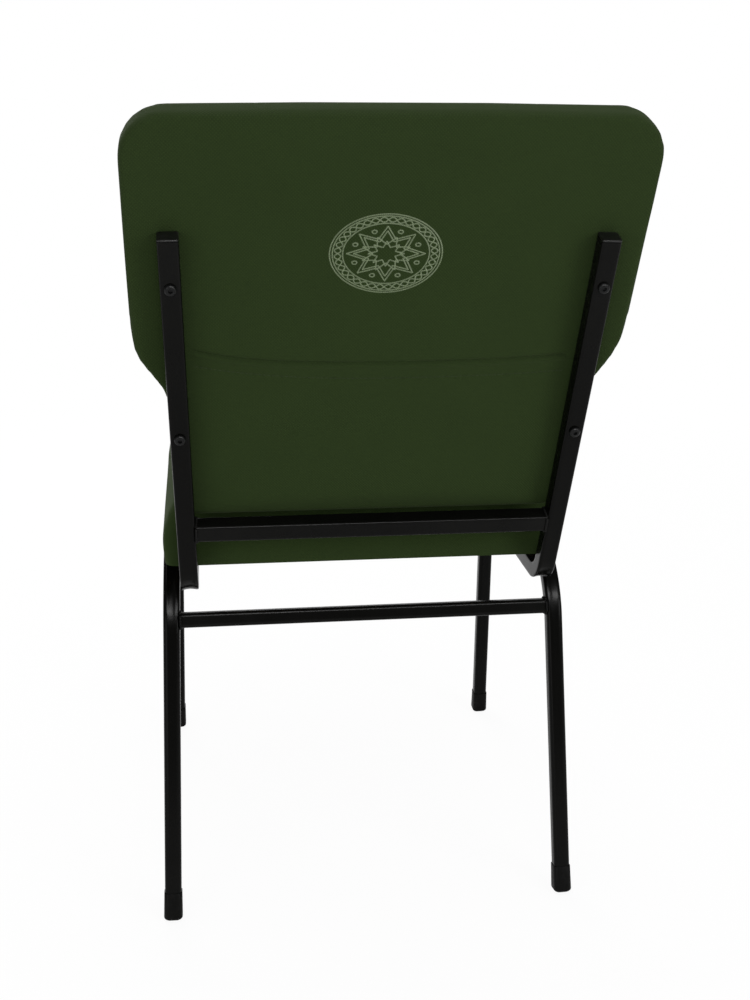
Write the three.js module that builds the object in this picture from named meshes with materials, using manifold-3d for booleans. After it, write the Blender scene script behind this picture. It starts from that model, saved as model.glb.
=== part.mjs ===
// Choir chair: a stacking chair with an upholstered seat and a winged back on a welded steel frame.
// Millimetres, +Z up, floor at Z = 0. The sitter faces -Y, and left (+X) and right (-X) are the sitter's.

import * as THREE from "three";
import { mergeVertices } from "three/addons/utils/BufferGeometryUtils.js";
import Module from "manifold-3d";

const wasm = await Module();
wasm.setup();

// Driving dimensions: fits and cutters
const clearance = 0.3;
const overrun = 4;
const weldTolerance = 0.0001;

// Two inverted-U leg frames of square tube: front leg, rail and rear leg in one bent piece
const leg = {
  tube: 18,
  wall: 1.6,
  corner: 4.5,
  footHalfSpacing: 219,
  railHalfSpacing: 209.9,
  railTop: 386,
  rearFoot: 208,
  rearKnee: 114.5,
  frontKnee: -203,
  frontFoot: -230,
  bend: 95,
  dent: 3,
  sink: 1.8,
  bulge: 0.3,
};

// Two L-shaped back tubes: a seat rail beside each leg rail, bent up into a back upright
const upright = {
  tube: 19,
  wall: 1.6,
  corner: 2.4,
  heel: 150.3,
  railHalfSpacing: 190.4,
  topHalfSpacing: 197.2,
  length: 393,
  railLength: 290,
  bend: 28,
  dent: 5.5,
  sink: 2.2,
  bulge: 0.4,
};
const recline = THREE.MathUtils.degToRad(18);

// Cross members
const backBar = { tube: 19, wall: 1.6, corner: 2.4, height: 75.2 };
const stretcher = { tube: 16, wall: 1.4, corner: 3.5, height: 320 };
const strap = { width: 30, thickness: 8, corner: 1.5, front: -130, rear: 45 };

// Plastic feet and plugs
const glide = {
  wall: 1.1,
  sleeve: 31,
  floor: 6,
  domeRise: 5,
  domeDrop: 1.2,
};
const plug = { head: 2.2, edge: 0.8, depth: 13, taper: 0.4 };

// Back upholstery: heights run up the back from the heel of the uprights
const backPad = {
  bottom: 85.6,
  bottomHalfWidth: 198,
  bottomCorner: 20,
  waist: 226.8,
  waistHalfWidth: 203.5,
  waistBlend: 45,
  wing: 277,
  wingHalfWidth: 233.6,
  wingBlend: 85,
  shoulder: 495,
  shoulderHalfWidth: 237.6,
  shoulderCorner: 43,
  top: 497.5,
  rearEdge: 7,
  frontEdge: 16,
  rearFoam: 6.5,
  frontFoam: 30,
  rearCrown: 5,
  rearCrownHalfWidth: 130,
  frontCrown: 9,
  border: 3,
};
const backBoard = { thickness: 10 };

// Seat upholstery
const seatPad = {
  halfWidth: 217,
  sideDraw: 2.2,
  front: -252,
  frontBow: 6,
  rear: 140.5,
  rearDraw: 1.5,
  frontCorner: 46,
  rearCorner: 12,
  widest: 22,
  shoulder: 85,
  crown: 17,
  bottomTuck: 5,
  sideReach: 44,
  frontReach: 62,
  border: 11,
};
const seatBoard = { thickness: 12, corner: 5 };
const dustCover = { thickness: 1, sideMargin: 2.5, endMargin: 24 };

// Fasteners
const bolt = {
  shank: 6,
  head: 11,
  headHeight: 3.4,
  headEdge: 1.1,
  socket: 4,
  socketDepth: 2,
  lowerHeight: 191.5,
  upperHeight: 348.7,
};
const insert = { barrel: 8, flange: 10.4, flangeThickness: 1.5, reach: 9 };
const seatScrew = {
  shank: 4.8,
  head: 9.5,
  headHeight: 3,
  headEdge: 1,
  recess: 3.2,
  recessDepth: 1.6,
  bite: 9,
  halfSpacing: 150,
};

// Numbers of steps in the round stretches
const bendSteps = 9;
const heelSteps = 7;
const straightSteps = 6;
const curveSteps = 5;
const turnSteps = 16;
const hexSides = 6;
const sides = { left: 1, right: -1 };

// Places derived from the driving dimensions
const railHeight = leg.railTop - leg.tube / 2;
const strapTop = leg.railTop - dustCover.thickness - clearance;
const heelHeight = strapTop - strap.thickness - clearance - upright.tube / 2;
const seatBottom = leg.railTop + clearance;
const legLean = Math.asin((leg.footHalfSpacing - leg.railHalfSpacing) / railHeight);
const uprightRise = upright.length * Math.cos(recline);
const splay = Math.asin((upright.topHalfSpacing - upright.railHalfSpacing) / uprightRise);
const padRear = -upright.tube / 2 - clearance;
const boardRear = padRear - backPad.rearFoam - clearance;
const boardFront = boardRear - backBoard.thickness;
const padFront = boardFront - clearance - backPad.frontFoam;

const steel = new THREE.MeshStandardMaterial({ color: 0x1a1b19, roughness: 0.42, metalness: 0.3 });
const plastic = new THREE.MeshStandardMaterial({ color: 0x141413, roughness: 0.6, metalness: 0 });
const zinc = new THREE.MeshStandardMaterial({ color: 0xa8a9a6, roughness: 0.35, metalness: 0.9 });
const plywood = new THREE.MeshStandardMaterial({ color: 0xb98f5c, roughness: 0.75, metalness: 0 });
const fabric = new THREE.MeshStandardMaterial({ color: 0x29341c, roughness: 0.95, metalness: 0 });
const cambric = new THREE.MeshStandardMaterial({ color: 0x161616, roughness: 0.9, metalness: 0 });

// A closed skin with shared corners, no empty triangles, and its faces pointing out.
function solid(source) {
  const bare = new THREE.BufferGeometry();
  bare.setAttribute("position", source.getAttribute("position").clone());
  if (source.index) bare.setIndex(source.index.clone());
  const merged = mergeVertices(bare, weldTolerance);
  const [a, b, c] = [new THREE.Vector3(), new THREE.Vector3(), new THREE.Vector3()];
  const place = merged.getAttribute("position");
  const corners = merged.index.array;
  const kept = [];
  let volume = 0;
  for (let i = 0; i < corners.length; i += 3) {
    const [p, q, r] = corners.slice(i, i + 3);
    if (p === q || q === r || r === p) continue;
    kept.push(p, q, r);
    a.fromBufferAttribute(place, p);
    b.fromBufferAttribute(place, q);
    c.fromBufferAttribute(place, r);
    volume += a.dot(b.cross(c));
  }
  merged.setIndex(volume < 0 ? kept.reverse() : kept);
  merged.computeVertexNormals();
  return merged;
}

function toManifold(geometry) {
  const closed = solid(geometry);
  return new wasm.Manifold(new wasm.Mesh({
    numProp: 3,
    vertProperties: new Float32Array(closed.getAttribute("position").array),
    triVerts: new Uint32Array(closed.index.array),
  }));
}

// The first shape less all the others.
function cut(body, ...tools) {
  const mesh = tools.reduce((rest, tool) => rest.subtract(toManifold(tool)), toManifold(body)).getMesh();
  const geometry = new THREE.BufferGeometry();
  geometry.setAttribute("position", new THREE.BufferAttribute(new Float32Array(mesh.vertProperties), 3));
  geometry.setIndex([...mesh.triVerts]);
  geometry.computeVertexNormals();
  return geometry;
}

// A skin over rings of points. A closed one joins its last ring to its first, an open one ends in two fans.
function loft(rings, closed = false) {
  const count = rings[0].length;
  const points = rings.flat();
  const index = [];
  const bands = closed ? rings.length : rings.length - 1;
  for (let band = 0; band < bands; band += 1) {
    const here = band * count;
    const next = ((band + 1) % rings.length) * count;
    for (let i = 0; i < count; i += 1) {
      const j = (i + 1) % count;
      index.push(here + i, here + j, next + j, here + i, next + j, next + i);
    }
  }
  if (!closed) {
    const last = (rings.length - 1) * count;
    const centres = [rings[0], rings.at(-1)].map((ring) => (
      ring.reduce((sum, point) => sum.add(point), new THREE.Vector3()).divideScalar(count)));
    const first = points.push(...centres) - 2;
    for (let i = 0; i < count; i += 1) {
      const j = (i + 1) % count;
      index.push(first, j, i, first + 1, last + i, last + j);
    }
  }
  const geometry = new THREE.BufferGeometry().setFromPoints(points);
  geometry.setIndex(index);
  return solid(geometry);
}

// Section of a square tube with round corners, as points (across, out).
function squareSection(half, corner) {
  const flat = half - corner;
  const faceShares = [-1, -1 / 3, 1 / 3, 1];
  const section = [];
  for (let side = 0; side < 4; side += 1) {
    const face = faceShares.map((share) => new THREE.Vector2(half, flat * share));
    const bevel = new THREE.Vector2(corner, 0).rotateAround(new THREE.Vector2(), Math.PI / 4).addScalar(flat);
    for (const point of [...face, bevel]) {
      section.push(point.rotateAround(new THREE.Vector2(), side * Math.PI / 2));
    }
  }
  return section;
}

// The same section as a flat ring at a height.
function levelRing(half, corner, height) {
  return squareSection(half, corner).map(({ x, y }) => new THREE.Vector3(x, y, height));
}

// Stations along a path of straight runs and round bends in the YZ plane. Each corner is [y, z, radius].
// A station holds its point, its direction, and how deep it lies in a bend, from 0 to 1.
function bentPath(corners, steps) {
  const points = corners.map(([y, z]) => new THREE.Vector2(y, z));
  const stations = [];
  const lastRun = points.at(-1).clone().sub(points.at(-2)).normalize();
  stations.push({ point: points[0], along: points[1].clone().sub(points[0]).normalize(), depth: 0 });
  for (let i = 1; i < points.length - 1; i += 1) {
    const before = points[i].clone().sub(points[i - 1]).normalize();
    const after = points[i + 1].clone().sub(points[i]).normalize();
    const turn = Math.atan2(before.cross(after), before.dot(after));
    const radius = corners[i][2];
    const start = points[i].clone().addScaledVector(before, -radius * Math.tan(Math.abs(turn) / 2));
    const inward = new THREE.Vector2(-before.y, before.x).multiplyScalar(Math.sign(turn) * radius);
    const centre = start.clone().add(inward);
    for (let step = 0; step <= steps; step += 1) {
      const angle = turn * step / steps;
      stations.push({
        point: start.clone().rotateAround(centre, angle),
        along: before.clone().rotateAround(new THREE.Vector2(), angle),
        depth: Math.sin(Math.PI * step / steps),
      });
    }
  }
  stations.push({ point: points.at(-1), along: lastRun, depth: 0 });
  return stations;
}

// One ring of a tube. In a bend the inner wall dents, the outer wall sinks and the sides bulge.
function tubeRing(station, size, half, corner) {
  const { point, along, depth } = station;
  return squareSection(half, corner).map(({ x: across, y: out }) => {
    const hollow = depth * (1 - (across / half) ** 2);
    const wide = across * (1 + depth * size.bulge / half);
    const press = out < 0 ? size.dent : size.sink;
    const far = out * (1 - hollow * press / half);
    return new THREE.Vector3(wide, point.x + far * along.y, point.y - far * along.x);
  });
}

// A hollow square tube along stations, open at both ends.
function bentTube(stations, size) {
  const half = size.tube / 2;
  const outer = stations.map((station) => tubeRing(station, size, half, size.corner));
  const boreCorner = size.corner - size.wall / 2;
  const bore = stations.map((station) => tubeRing(station, size, half - size.wall, boreCorner));
  return loft([...outer, ...bore.reverse()], true);
}

// A straight hollow tube along X, centred.
function crossTube(length, size) {
  const plain = { ...size, bulge: 0, dent: 0, sink: 0 };
  const stations = bentPath([[-length / 2, 0], [length / 2, 0]], 1);
  return bentTube(stations, plain).rotateZ(-Math.PI / 2);
}

function extruded(outline, depth) {
  return new THREE.ExtrudeGeometry(outline, { depth, bevelEnabled: false, curveSegments: curveSteps });
}

// A round bar along Y, centred.
function rod(radius, length) {
  return new THREE.CylinderGeometry(radius, radius, length, turnSteps);
}

// A cutter for a hexagonal socket that goes down from height zero along Y.
function hexSocket(width, depth) {
  const cutter = new THREE.CylinderGeometry(width / 2, width / 2, depth + overrun, hexSides);
  return cutter.translate(0, (overrun - depth) / 2, 0);
}

// A solid turned round Y from its profile of [radius, height].
function turned(profile) {
  return new THREE.LatheGeometry(profile.map(([x, y]) => new THREE.Vector2(x, y)), turnSteps);
}

// Height of a crown, from 1 in the middle to 0 at the rim.
function swell(offset, reach) {
  return Math.max(0, 1 - (offset / reach) ** 2);
}

// A closed outline with round corners from points [x, y, radius].
function roundOutline(corners) {
  const points = corners.map(([x, y]) => new THREE.Vector2(x, y));
  const outline = new THREE.Shape();
  points.forEach((point, i) => {
    const before = point.clone().sub(points.at(i - 1)).normalize();
    const after = points[(i + 1) % points.length].clone().sub(point).normalize();
    const turn = Math.abs(Math.atan2(before.cross(after), before.dot(after)));
    const trim = corners[i][2] * Math.tan(turn / 2);
    const start = point.clone().addScaledVector(before, -trim);
    const end = point.clone().addScaledVector(after, trim);
    if (i === 0) outline.moveTo(start.x, start.y);
    else outline.lineTo(start.x, start.y);
    outline.quadraticCurveTo(point.x, point.y, end.x, end.y);
  });
  outline.closePath();
  return outline;
}

// Points round an outline: as many in each corner and as many on each straight, whatever its border.
function outlinePoints(outline) {
  return outline.curves.flatMap((curve) => {
    const steps = curve.isLineCurve ? straightSteps : curveSteps;
    return Array.from({ length: steps }, (_, i) => curve.getPoint(i / steps));
  });
}

// Mirrors the corners of a right half, listed upwards from the middle, to a whole outline.
function bothHalves(half) {
  return [...half, ...half.map(([x, y, radius]) => [-x, y, radius]).reverse()];
}

// Leg frames

function legPath() {
  const reach = (foot, knee) => Math.hypot(foot - knee, railHeight);
  const end = (foot, knee) => {
    const share = glide.floor / reach(foot, knee);
    return [foot + (knee - foot) * share, railHeight * share, 0];
  };
  return bentPath([
    end(leg.rearFoot, leg.rearKnee),
    [leg.rearKnee, railHeight, leg.bend],
    [leg.frontKnee, railHeight, leg.bend],
    end(leg.frontFoot, leg.frontKnee),
  ], bendSteps);
}

function legFrame(side) {
  const frame = new THREE.Mesh(bentTube(legPath(), leg), steel);
  frame.position.x = sides[side] * leg.footHalfSpacing;
  frame.rotation.y = -sides[side] * legLean;
  frame.name = `${side}_leg_frame`;
  return frame;
}

// A slip-on foot with a domed sole, worn flat on the floor.
function footGlide(side, end, foot, knee) {
  const outerHalf = leg.tube / 2 + clearance + glide.wall;
  const boreHalf = leg.tube / 2 + clearance;
  const outerCorner = leg.corner + glide.wall;
  const dome = [65, 45, 25, 0].map((degrees) => {
    const angle = THREE.MathUtils.degToRad(degrees);
    const share = Math.cos(angle);
    const height = glide.domeRise * (1 - Math.sin(angle)) - glide.domeDrop;
    return levelRing(outerHalf * share, outerCorner * share, height);
  });
  const shell = loft([
    ...dome,
    levelRing(outerHalf, outerCorner, glide.sleeve),
    levelRing(boreHalf, leg.corner, glide.sleeve),
    levelRing(boreHalf, leg.corner, glide.floor - clearance),
  ]);
  const rake = Math.atan2(foot - knee, railHeight);
  shell.rotateX(rake).translate(0, foot, 0).rotateY(-sides[side] * legLean);
  shell.translate(sides[side] * leg.footHalfSpacing, 0, 0);
  const below = new THREE.BoxGeometry(outerHalf * 4, outerHalf * 4, outerHalf * 2);
  below.translate(sides[side] * leg.footHalfSpacing, foot, -outerHalf);
  const mesh = new THREE.Mesh(cut(shell, below), plastic);
  mesh.name = `${side}_${end}_glide`;
  return mesh;
}

// Back tubes

function backTube(side) {
  const tube = bentTube(bentPath([
    [-upright.railLength, 0, 0],
    [0, 0, upright.bend],
    [upright.length * Math.sin(recline), upright.length * Math.cos(recline), 0],
  ], heelSteps), upright);
  const holes = [bolt.lowerHeight, bolt.upperHeight].map((height) => (
    rod(bolt.shank / 2 + clearance, upright.tube + overrun).translate(0, 0, height).rotateX(-recline)));
  const mesh = new THREE.Mesh(cut(tube, ...holes), steel);
  mesh.position.set(sides[side] * upright.railHalfSpacing, upright.heel, heelHeight);
  mesh.rotation.y = sides[side] * splay;
  mesh.name = `${side}_back_tube`;
  return mesh;
}

// A push-in plug for the open end of a back tube, its head at the tube's end and pointing up.
function tubePlug(name) {
  const half = upright.tube / 2;
  const boreHalf = half - upright.wall - clearance;
  const boreCorner = upright.corner - upright.wall / 2;
  const mesh = new THREE.Mesh(loft([
    levelRing(boreHalf - plug.taper, boreCorner, -plug.depth),
    levelRing(boreHalf, boreCorner, -plug.depth / 2),
    levelRing(boreHalf, boreCorner, clearance),
    levelRing(half, upright.corner, clearance),
    levelRing(half, upright.corner, plug.head - plug.edge),
    levelRing(half - plug.edge, upright.corner, plug.head),
  ]), plastic);
  mesh.name = name;
  return mesh;
}

function plugs(side) {
  const set = new THREE.Group();
  set.position.set(sides[side] * upright.railHalfSpacing, upright.heel, heelHeight);
  set.rotation.y = sides[side] * splay;
  const cap = tubePlug(`${side}_upright_cap`);
  cap.position.set(0, upright.length * Math.sin(recline), upright.length * Math.cos(recline));
  cap.rotation.x = -recline;
  const railPlug = tubePlug(`${side}_rail_plug`);
  railPlug.position.y = -upright.railLength;
  railPlug.rotation.x = Math.PI / 2;
  set.add(cap, railPlug);
  return set;
}

// Cross members

function backCrossbar() {
  const lowEdge = backBar.height - backBar.tube / 2;
  const innerFace = uprightX(lowEdge) - upright.tube / 2;
  const mesh = new THREE.Mesh(crossTube(2 * (innerFace - clearance), backBar), steel);
  mesh.position.z = backBar.height;
  mesh.name = "back_crossbar";
  return mesh;
}

function rearStretcher() {
  const share = stretcher.height / railHeight;
  const innerFace = leg.footHalfSpacing - (leg.footHalfSpacing - leg.railHalfSpacing) * share - leg.tube / 2;
  const mesh = new THREE.Mesh(crossTube(2 * (innerFace - 2 * clearance), stretcher), steel);
  mesh.position.set(0, leg.rearFoot + (leg.rearKnee - leg.rearFoot) * share, stretcher.height);
  mesh.rotation.x = Math.atan2(leg.rearFoot - leg.rearKnee, railHeight);
  mesh.name = "rear_stretcher";
  return mesh;
}

// A flat bar across the two seat rails, with a hole at each end for a seat screw.
function seatStrap(end) {
  const halfLength = leg.railHalfSpacing - leg.tube / 2 - 2 * clearance;
  const [w, t, c] = [strap.width / 2, strap.thickness / 2, strap.corner];
  const bar = extruded(roundOutline([[w, -t, c], [w, t, c], [-w, t, c], [-w, -t, c]]), 2 * halfLength);
  bar.translate(0, 0, -halfLength).rotateY(Math.PI / 2).rotateX(Math.PI / 2);
  const holes = Object.values(sides).map((sign) => (
    screwHole(strap.thickness + overrun).translate(sign * seatScrew.halfSpacing, 0, 0)));
  const mesh = new THREE.Mesh(cut(bar, ...holes), steel);
  mesh.position.set(0, strap[end], strapTop - strap.thickness / 2);
  mesh.name = `${end}_seat_strap`;
  return mesh;
}

function screwHole(depth) {
  return rod(seatScrew.shank / 2 + clearance, depth).rotateX(Math.PI / 2);
}

// Back upholstery

function uprightX(height) {
  return upright.railHalfSpacing + height * Math.cos(recline) * Math.sin(splay);
}

function boltPlaces() {
  const levels = { lower: bolt.lowerHeight, upper: bolt.upperHeight };
  return Object.entries(sides).flatMap(([side, sign]) => (
    Object.entries(levels).map(([level, z]) => ({ name: `${level}_${side}`, x: sign * uprightX(z), z }))));
}

// Outline of the back in its own plane, drawn in by an even border.
function backOutline(border) {
  const pad = backPad;
  return roundOutline(bothHalves([
    [pad.bottomHalfWidth - border, pad.bottom + border, pad.bottomCorner - border],
    [pad.waistHalfWidth - border, pad.waist, pad.waistBlend],
    [pad.wingHalfWidth - border, pad.wing, pad.wingBlend],
    [pad.shoulderHalfWidth - border, pad.shoulder - border, pad.shoulderCorner - border],
    [pad.shoulderHalfWidth / 4, pad.top - border, pad.shoulderHalfWidth / 4],
  ]));
}

// A sleeve of foam and cover, flat at the back where it lies on the uprights and crowned between them.
function backCushion() {
  const pad = backPad;
  const middle = (pad.bottom + pad.top) / 2;
  const half = (pad.top - pad.bottom) / 2;
  const ring = (inset, depth, share = 1, crown = 0, crownHalfWidth = pad.shoulderHalfWidth) => (
    outlinePoints(backOutline(inset)).map((point) => {
      const x = point.x * share;
      const rise = (point.y - middle) * share;
      const bow = crown * swell(x, crownHalfWidth) * swell(rise, half);
      return new THREE.Vector3(x, depth + bow, middle + rise);
    }));
  const rearRing = (share) => ring(pad.rearEdge, padRear, share, pad.rearCrown, pad.rearCrownHalfWidth);
  const frontRing = (share) => ring(pad.frontEdge, padFront, share, -pad.frontCrown);
  const edge = (radius, depth, sign) => [60, 30, 0].map((degrees) => {
    const angle = THREE.MathUtils.degToRad(degrees);
    return ring(radius * (1 - Math.cos(angle)), depth + sign * radius * (1 - Math.sin(angle)));
  });
  const sleeve = loft([
    ...[0.16, 0.38, 0.59].map(rearRing),
    ring(pad.rearEdge, padRear),
    ...edge(pad.rearEdge, padRear, -1),
    ...edge(pad.frontEdge, padFront, 1).reverse(),
    ring(pad.frontEdge, padFront),
    ...[0.85, 0.6, 0.34, 0.15].map(frontRing),
  ]);
  const pocket = boardBlank(pad.border - clearance, backBoard.thickness + 2 * clearance);
  pocket.translate(0, boardRear + clearance, 0);
  const holes = boltPlaces().map(({ x, z }) => (
    rod(bolt.shank / 2 + 2 * clearance, pad.rearFoam + overrun).translate(x, padRear - pad.rearFoam / 2, z)));
  const mesh = new THREE.Mesh(cut(sleeve, pocket, ...holes), fabric);
  mesh.name = "back_cushion";
  return mesh;
}

// A flat blank of the back's outline, with its rear face at depth zero and its front face forward of it.
function boardBlank(border, thickness) {
  return extruded(backOutline(border), thickness).rotateX(Math.PI / 2);
}

function backBoardPanel() {
  const board = boardBlank(backPad.border, backBoard.thickness);
  board.translate(0, boardRear, 0);
  const recess = insert.flangeThickness + clearance;
  const through = backBoard.thickness + overrun;
  const cutters = boltPlaces().flatMap(({ x, z }) => [
    rod(insert.barrel / 2 + clearance, through).translate(x, (boardRear + boardFront) / 2, z),
    rod(insert.flange / 2 + clearance, recess + overrun).translate(x, boardFront + (recess - overrun) / 2, z),
  ]);
  const mesh = new THREE.Mesh(cut(board, ...cutters), plywood);
  mesh.name = "back_board";
  return mesh;
}

// A button-head bolt through an upright into its threaded insert, pointing forward.
function backBolt({ name, x, z }) {
  const { shank, head, headHeight, headEdge, socket, socketDepth } = bolt;
  const seat = upright.tube / 2 + clearance;
  const crown = seat + headHeight;
  const body = turned([
    [0, boardFront],
    [shank / 2 - headEdge / 2, boardFront],
    [shank / 2, boardFront + headEdge],
    [shank / 2, seat],
    [head / 2, seat],
    [head / 2, seat + headEdge],
    [head / 2 - headEdge, crown - headEdge],
    [(head + socket) / 4, crown],
    [0, crown],
  ]);
  const drive = hexSocket(socket, socketDepth).translate(0, crown, 0);
  const mesh = new THREE.Mesh(cut(body, drive), steel);
  mesh.position.set(x, 0, z);
  mesh.name = `back_bolt_${name}`;
  return mesh;
}

// A threaded insert in the back board, its flange on the board's front face.
function backInsert({ name, x, z }) {
  const bore = bolt.shank / 2 + clearance;
  const flangeRear = boardFront + insert.flangeThickness;
  const mesh = new THREE.Mesh(solid(turned([
    [bore, boardFront],
    [insert.flange / 2, boardFront],
    [insert.flange / 2, flangeRear],
    [insert.barrel / 2, flangeRear],
    [insert.barrel / 2, boardFront + insert.reach],
    [bore, boardFront + insert.reach],
    [bore, boardFront],
  ])), zinc);
  mesh.position.set(x, 0, z);
  mesh.name = `back_insert_${name}`;
  return mesh;
}

// Seat upholstery

function seatOutline(side, rear = side, front = side) {
  const pad = seatPad;
  const x = pad.halfWidth - side;
  const middle = (pad.rear + pad.front) / 2;
  const rearCorner = Math.max(pad.rearCorner - rear, seatBoard.corner);
  const frontCorner = Math.max(pad.frontCorner - front, seatBoard.corner);
  const half = [
    [x, pad.front + front, frontCorner],
    [x - pad.sideDraw, middle, x / 2],
    [x, pad.rear - rear, rearCorner],
  ];
  const mirrored = half.map(([across, along, radius]) => [-across, along, radius]).reverse();
  return roundOutline([
    [0, pad.front + front - pad.frontBow, x / 2],
    ...half,
    [0, pad.rear - rear - pad.rearDraw, x / 2],
    ...mirrored,
  ]);
}

// The cover rounds over from its widest line to its shoulder, deeper in front, and crowns to the middle.
function seatCushion() {
  const pad = seatPad;
  const rim = outlinePoints(seatOutline(0));
  const shoulder = outlinePoints(seatOutline(pad.sideReach, pad.sideReach, pad.frontReach));
  const middle = (pad.rear + pad.front) / 2;
  const half = (pad.rear - pad.front) / 2;
  const ring = (inset, height, share = 1, crown = 0) => rim.map((point, i) => {
    const spot = point.clone().lerp(shoulder[i], inset);
    const [x, y] = [spot.x * share, (spot.y - middle) * share];
    const top = seatBottom + height + crown * swell(x, pad.halfWidth) * swell(y, half);
    return new THREE.Vector3(x, middle + y, top);
  });
  const rounding = [0, 20, 42, 66].map((degrees) => {
    const angle = THREE.MathUtils.degToRad(degrees);
    const height = THREE.MathUtils.lerp(pad.widest, pad.shoulder, Math.sin(angle));
    return ring(1 - Math.cos(angle), height, 1, pad.crown * Math.sin(angle));
  });
  const top = [1, 0.8, 0.58, 0.35, 0.14].map((share) => ring(1, pad.shoulder, share, pad.crown));
  const tuck = pad.bottomTuck / pad.sideReach;
  const skin = loft([ring(tuck, 0), ring(tuck / 3, pad.widest / 3), ...rounding, ...top]);
  const recess = seatBlank(pad.border - clearance, seatBoard.thickness + clearance + overrun);
  recess.translate(0, 0, seatBottom - overrun);
  const mesh = new THREE.Mesh(cut(skin, recess), fabric);
  mesh.name = "seat_cushion";
  return mesh;
}

function seatBlank(border, thickness) {
  return extruded(seatOutline(border), thickness);
}

function screwPlaces() {
  const x = seatScrew.halfSpacing;
  return Object.entries(sides).flatMap(([side, sign]) => (
    ["front", "rear"].map((end) => ({ name: `${end}_${side}`, x: sign * x, y: strap[end] }))));
}

function seatBoardPanel() {
  const board = seatBlank(seatPad.border, seatBoard.thickness).translate(0, 0, seatBottom);
  const depth = seatScrew.bite + clearance;
  const holes = screwPlaces().map(({ x, y }) => (
    screwHole(depth + overrun).translate(x, y, seatBottom + (depth - overrun) / 2)));
  const mesh = new THREE.Mesh(cut(board, ...holes), plywood);
  mesh.name = "seat_board";
  return mesh;
}

// Black cloth stapled under the board, between the leg rails.
function seatDustCover() {
  const halfWidth = leg.railHalfSpacing - leg.tube / 2 - dustCover.sideMargin;
  const [rear, front] = [seatPad.rear - dustCover.endMargin, seatPad.front + dustCover.endMargin];
  const corner = dustCover.endMargin / 2;
  const sheet = extruded(roundOutline([
    [halfWidth, front, corner],
    [halfWidth, rear, corner],
    [-halfWidth, rear, corner],
    [-halfWidth, front, corner],
  ]), dustCover.thickness);
  sheet.translate(0, 0, leg.railTop - dustCover.thickness);
  const holes = screwPlaces().map(({ x, y }) => screwHole(2 * overrun).translate(x, y, leg.railTop));
  const mesh = new THREE.Mesh(cut(sheet, ...holes), cambric);
  mesh.name = "seat_dust_cover";
  return mesh;
}

// A pan-head screw up through a strap and the dust cover into the seat board.
function seatBoardScrew({ name, x, y }) {
  const { shank, head, headHeight, headEdge, recess, recessDepth, bite } = seatScrew;
  const seat = strapTop - strap.thickness - clearance;
  const crown = seat - headHeight;
  const tip = seatBottom + bite;
  const body = turned([
    [0, crown],
    [head / 2 - headEdge, crown],
    [head / 2, crown + headEdge],
    [head / 2, seat],
    [shank / 2, seat],
    [shank / 2, tip - shank / 2],
    [0, tip],
  ]).rotateX(Math.PI / 2);
  const drive = hexSocket(recess, recessDepth).rotateX(-Math.PI / 2).translate(0, 0, crown);
  const mesh = new THREE.Mesh(cut(body, drive), zinc);
  mesh.position.set(x, y, 0);
  mesh.name = `seat_screw_${name}`;
  return mesh;
}

// The whole chair

function upholsteredBack() {
  const back = new THREE.Group();
  back.position.set(0, upright.heel, heelHeight);
  back.rotation.x = -recline;
  back.add(backCrossbar(), backCushion(), backBoardPanel());
  for (const place of boltPlaces()) back.add(backBolt(place), backInsert(place));
  return back;
}

function upholsteredSeat() {
  const seat = new THREE.Group();
  seat.add(seatCushion(), seatBoardPanel(), seatDustCover(), seatStrap("front"), seatStrap("rear"));
  for (const place of screwPlaces()) seat.add(seatBoardScrew(place));
  return seat;
}

const chair = new THREE.Group();
for (const side of Object.keys(sides)) {
  chair.add(legFrame(side), backTube(side), plugs(side));
  chair.add(footGlide(side, "front", leg.frontFoot, leg.frontKnee));
  chair.add(footGlide(side, "rear", leg.rearFoot, leg.rearKnee));
}
chair.add(rearStretcher(), upholsteredSeat(), upholsteredBack());

// The origin lies on the floor under the middle of the chair's box.
const box = new THREE.Box3().setFromObject(chair, true);
chair.position.y = -(box.min.y + box.max.y) / 2;

export default chair;
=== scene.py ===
"""Dresses the stacking choir chair: a welded frame of square steel tube with an upholstered seat and back.

The chair's own frame is the CAD model's: metres, +Z up, the floor at Z = 0, and the sitter faces -Y.
Left is +X, the sitter's left. Every size below is a real one, written in millimetres times MM.
"""

from __future__ import annotations

import logging
import math
from dataclasses import dataclass, field
from enum import Enum
from typing import Any, Callable, Sequence

import bmesh
import bpy
from mathutils import Matrix, Vector
from mathutils.bvhtree import BVHTree

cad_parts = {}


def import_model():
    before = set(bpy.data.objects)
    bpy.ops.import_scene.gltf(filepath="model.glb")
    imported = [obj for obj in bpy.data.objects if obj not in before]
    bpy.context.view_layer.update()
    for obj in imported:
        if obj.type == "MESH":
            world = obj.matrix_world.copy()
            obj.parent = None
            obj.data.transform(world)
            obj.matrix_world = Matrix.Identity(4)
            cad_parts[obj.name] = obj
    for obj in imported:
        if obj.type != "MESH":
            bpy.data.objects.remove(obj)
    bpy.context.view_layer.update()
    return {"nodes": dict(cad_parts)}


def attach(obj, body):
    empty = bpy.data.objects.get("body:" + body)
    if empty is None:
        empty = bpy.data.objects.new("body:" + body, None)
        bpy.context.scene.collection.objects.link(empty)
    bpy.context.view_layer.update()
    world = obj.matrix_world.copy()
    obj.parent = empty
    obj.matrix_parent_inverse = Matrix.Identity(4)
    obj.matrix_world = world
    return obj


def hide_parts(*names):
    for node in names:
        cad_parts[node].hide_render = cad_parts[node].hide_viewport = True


log = logging.getLogger("choir_chair")

MM = 0.001
ROOT = "root"
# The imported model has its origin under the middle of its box, this far behind the drawing's.
CAD_SHIFT = -17.42 * MM
# The share of an axis that the normal of a face which looks along it has at least.
FACING = 0.9

Piece = bpy.types.Object
Material = bpy.types.Material
Socket = bpy.types.NodeSocket
Test = Callable[[Vector, Vector], bool]


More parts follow.
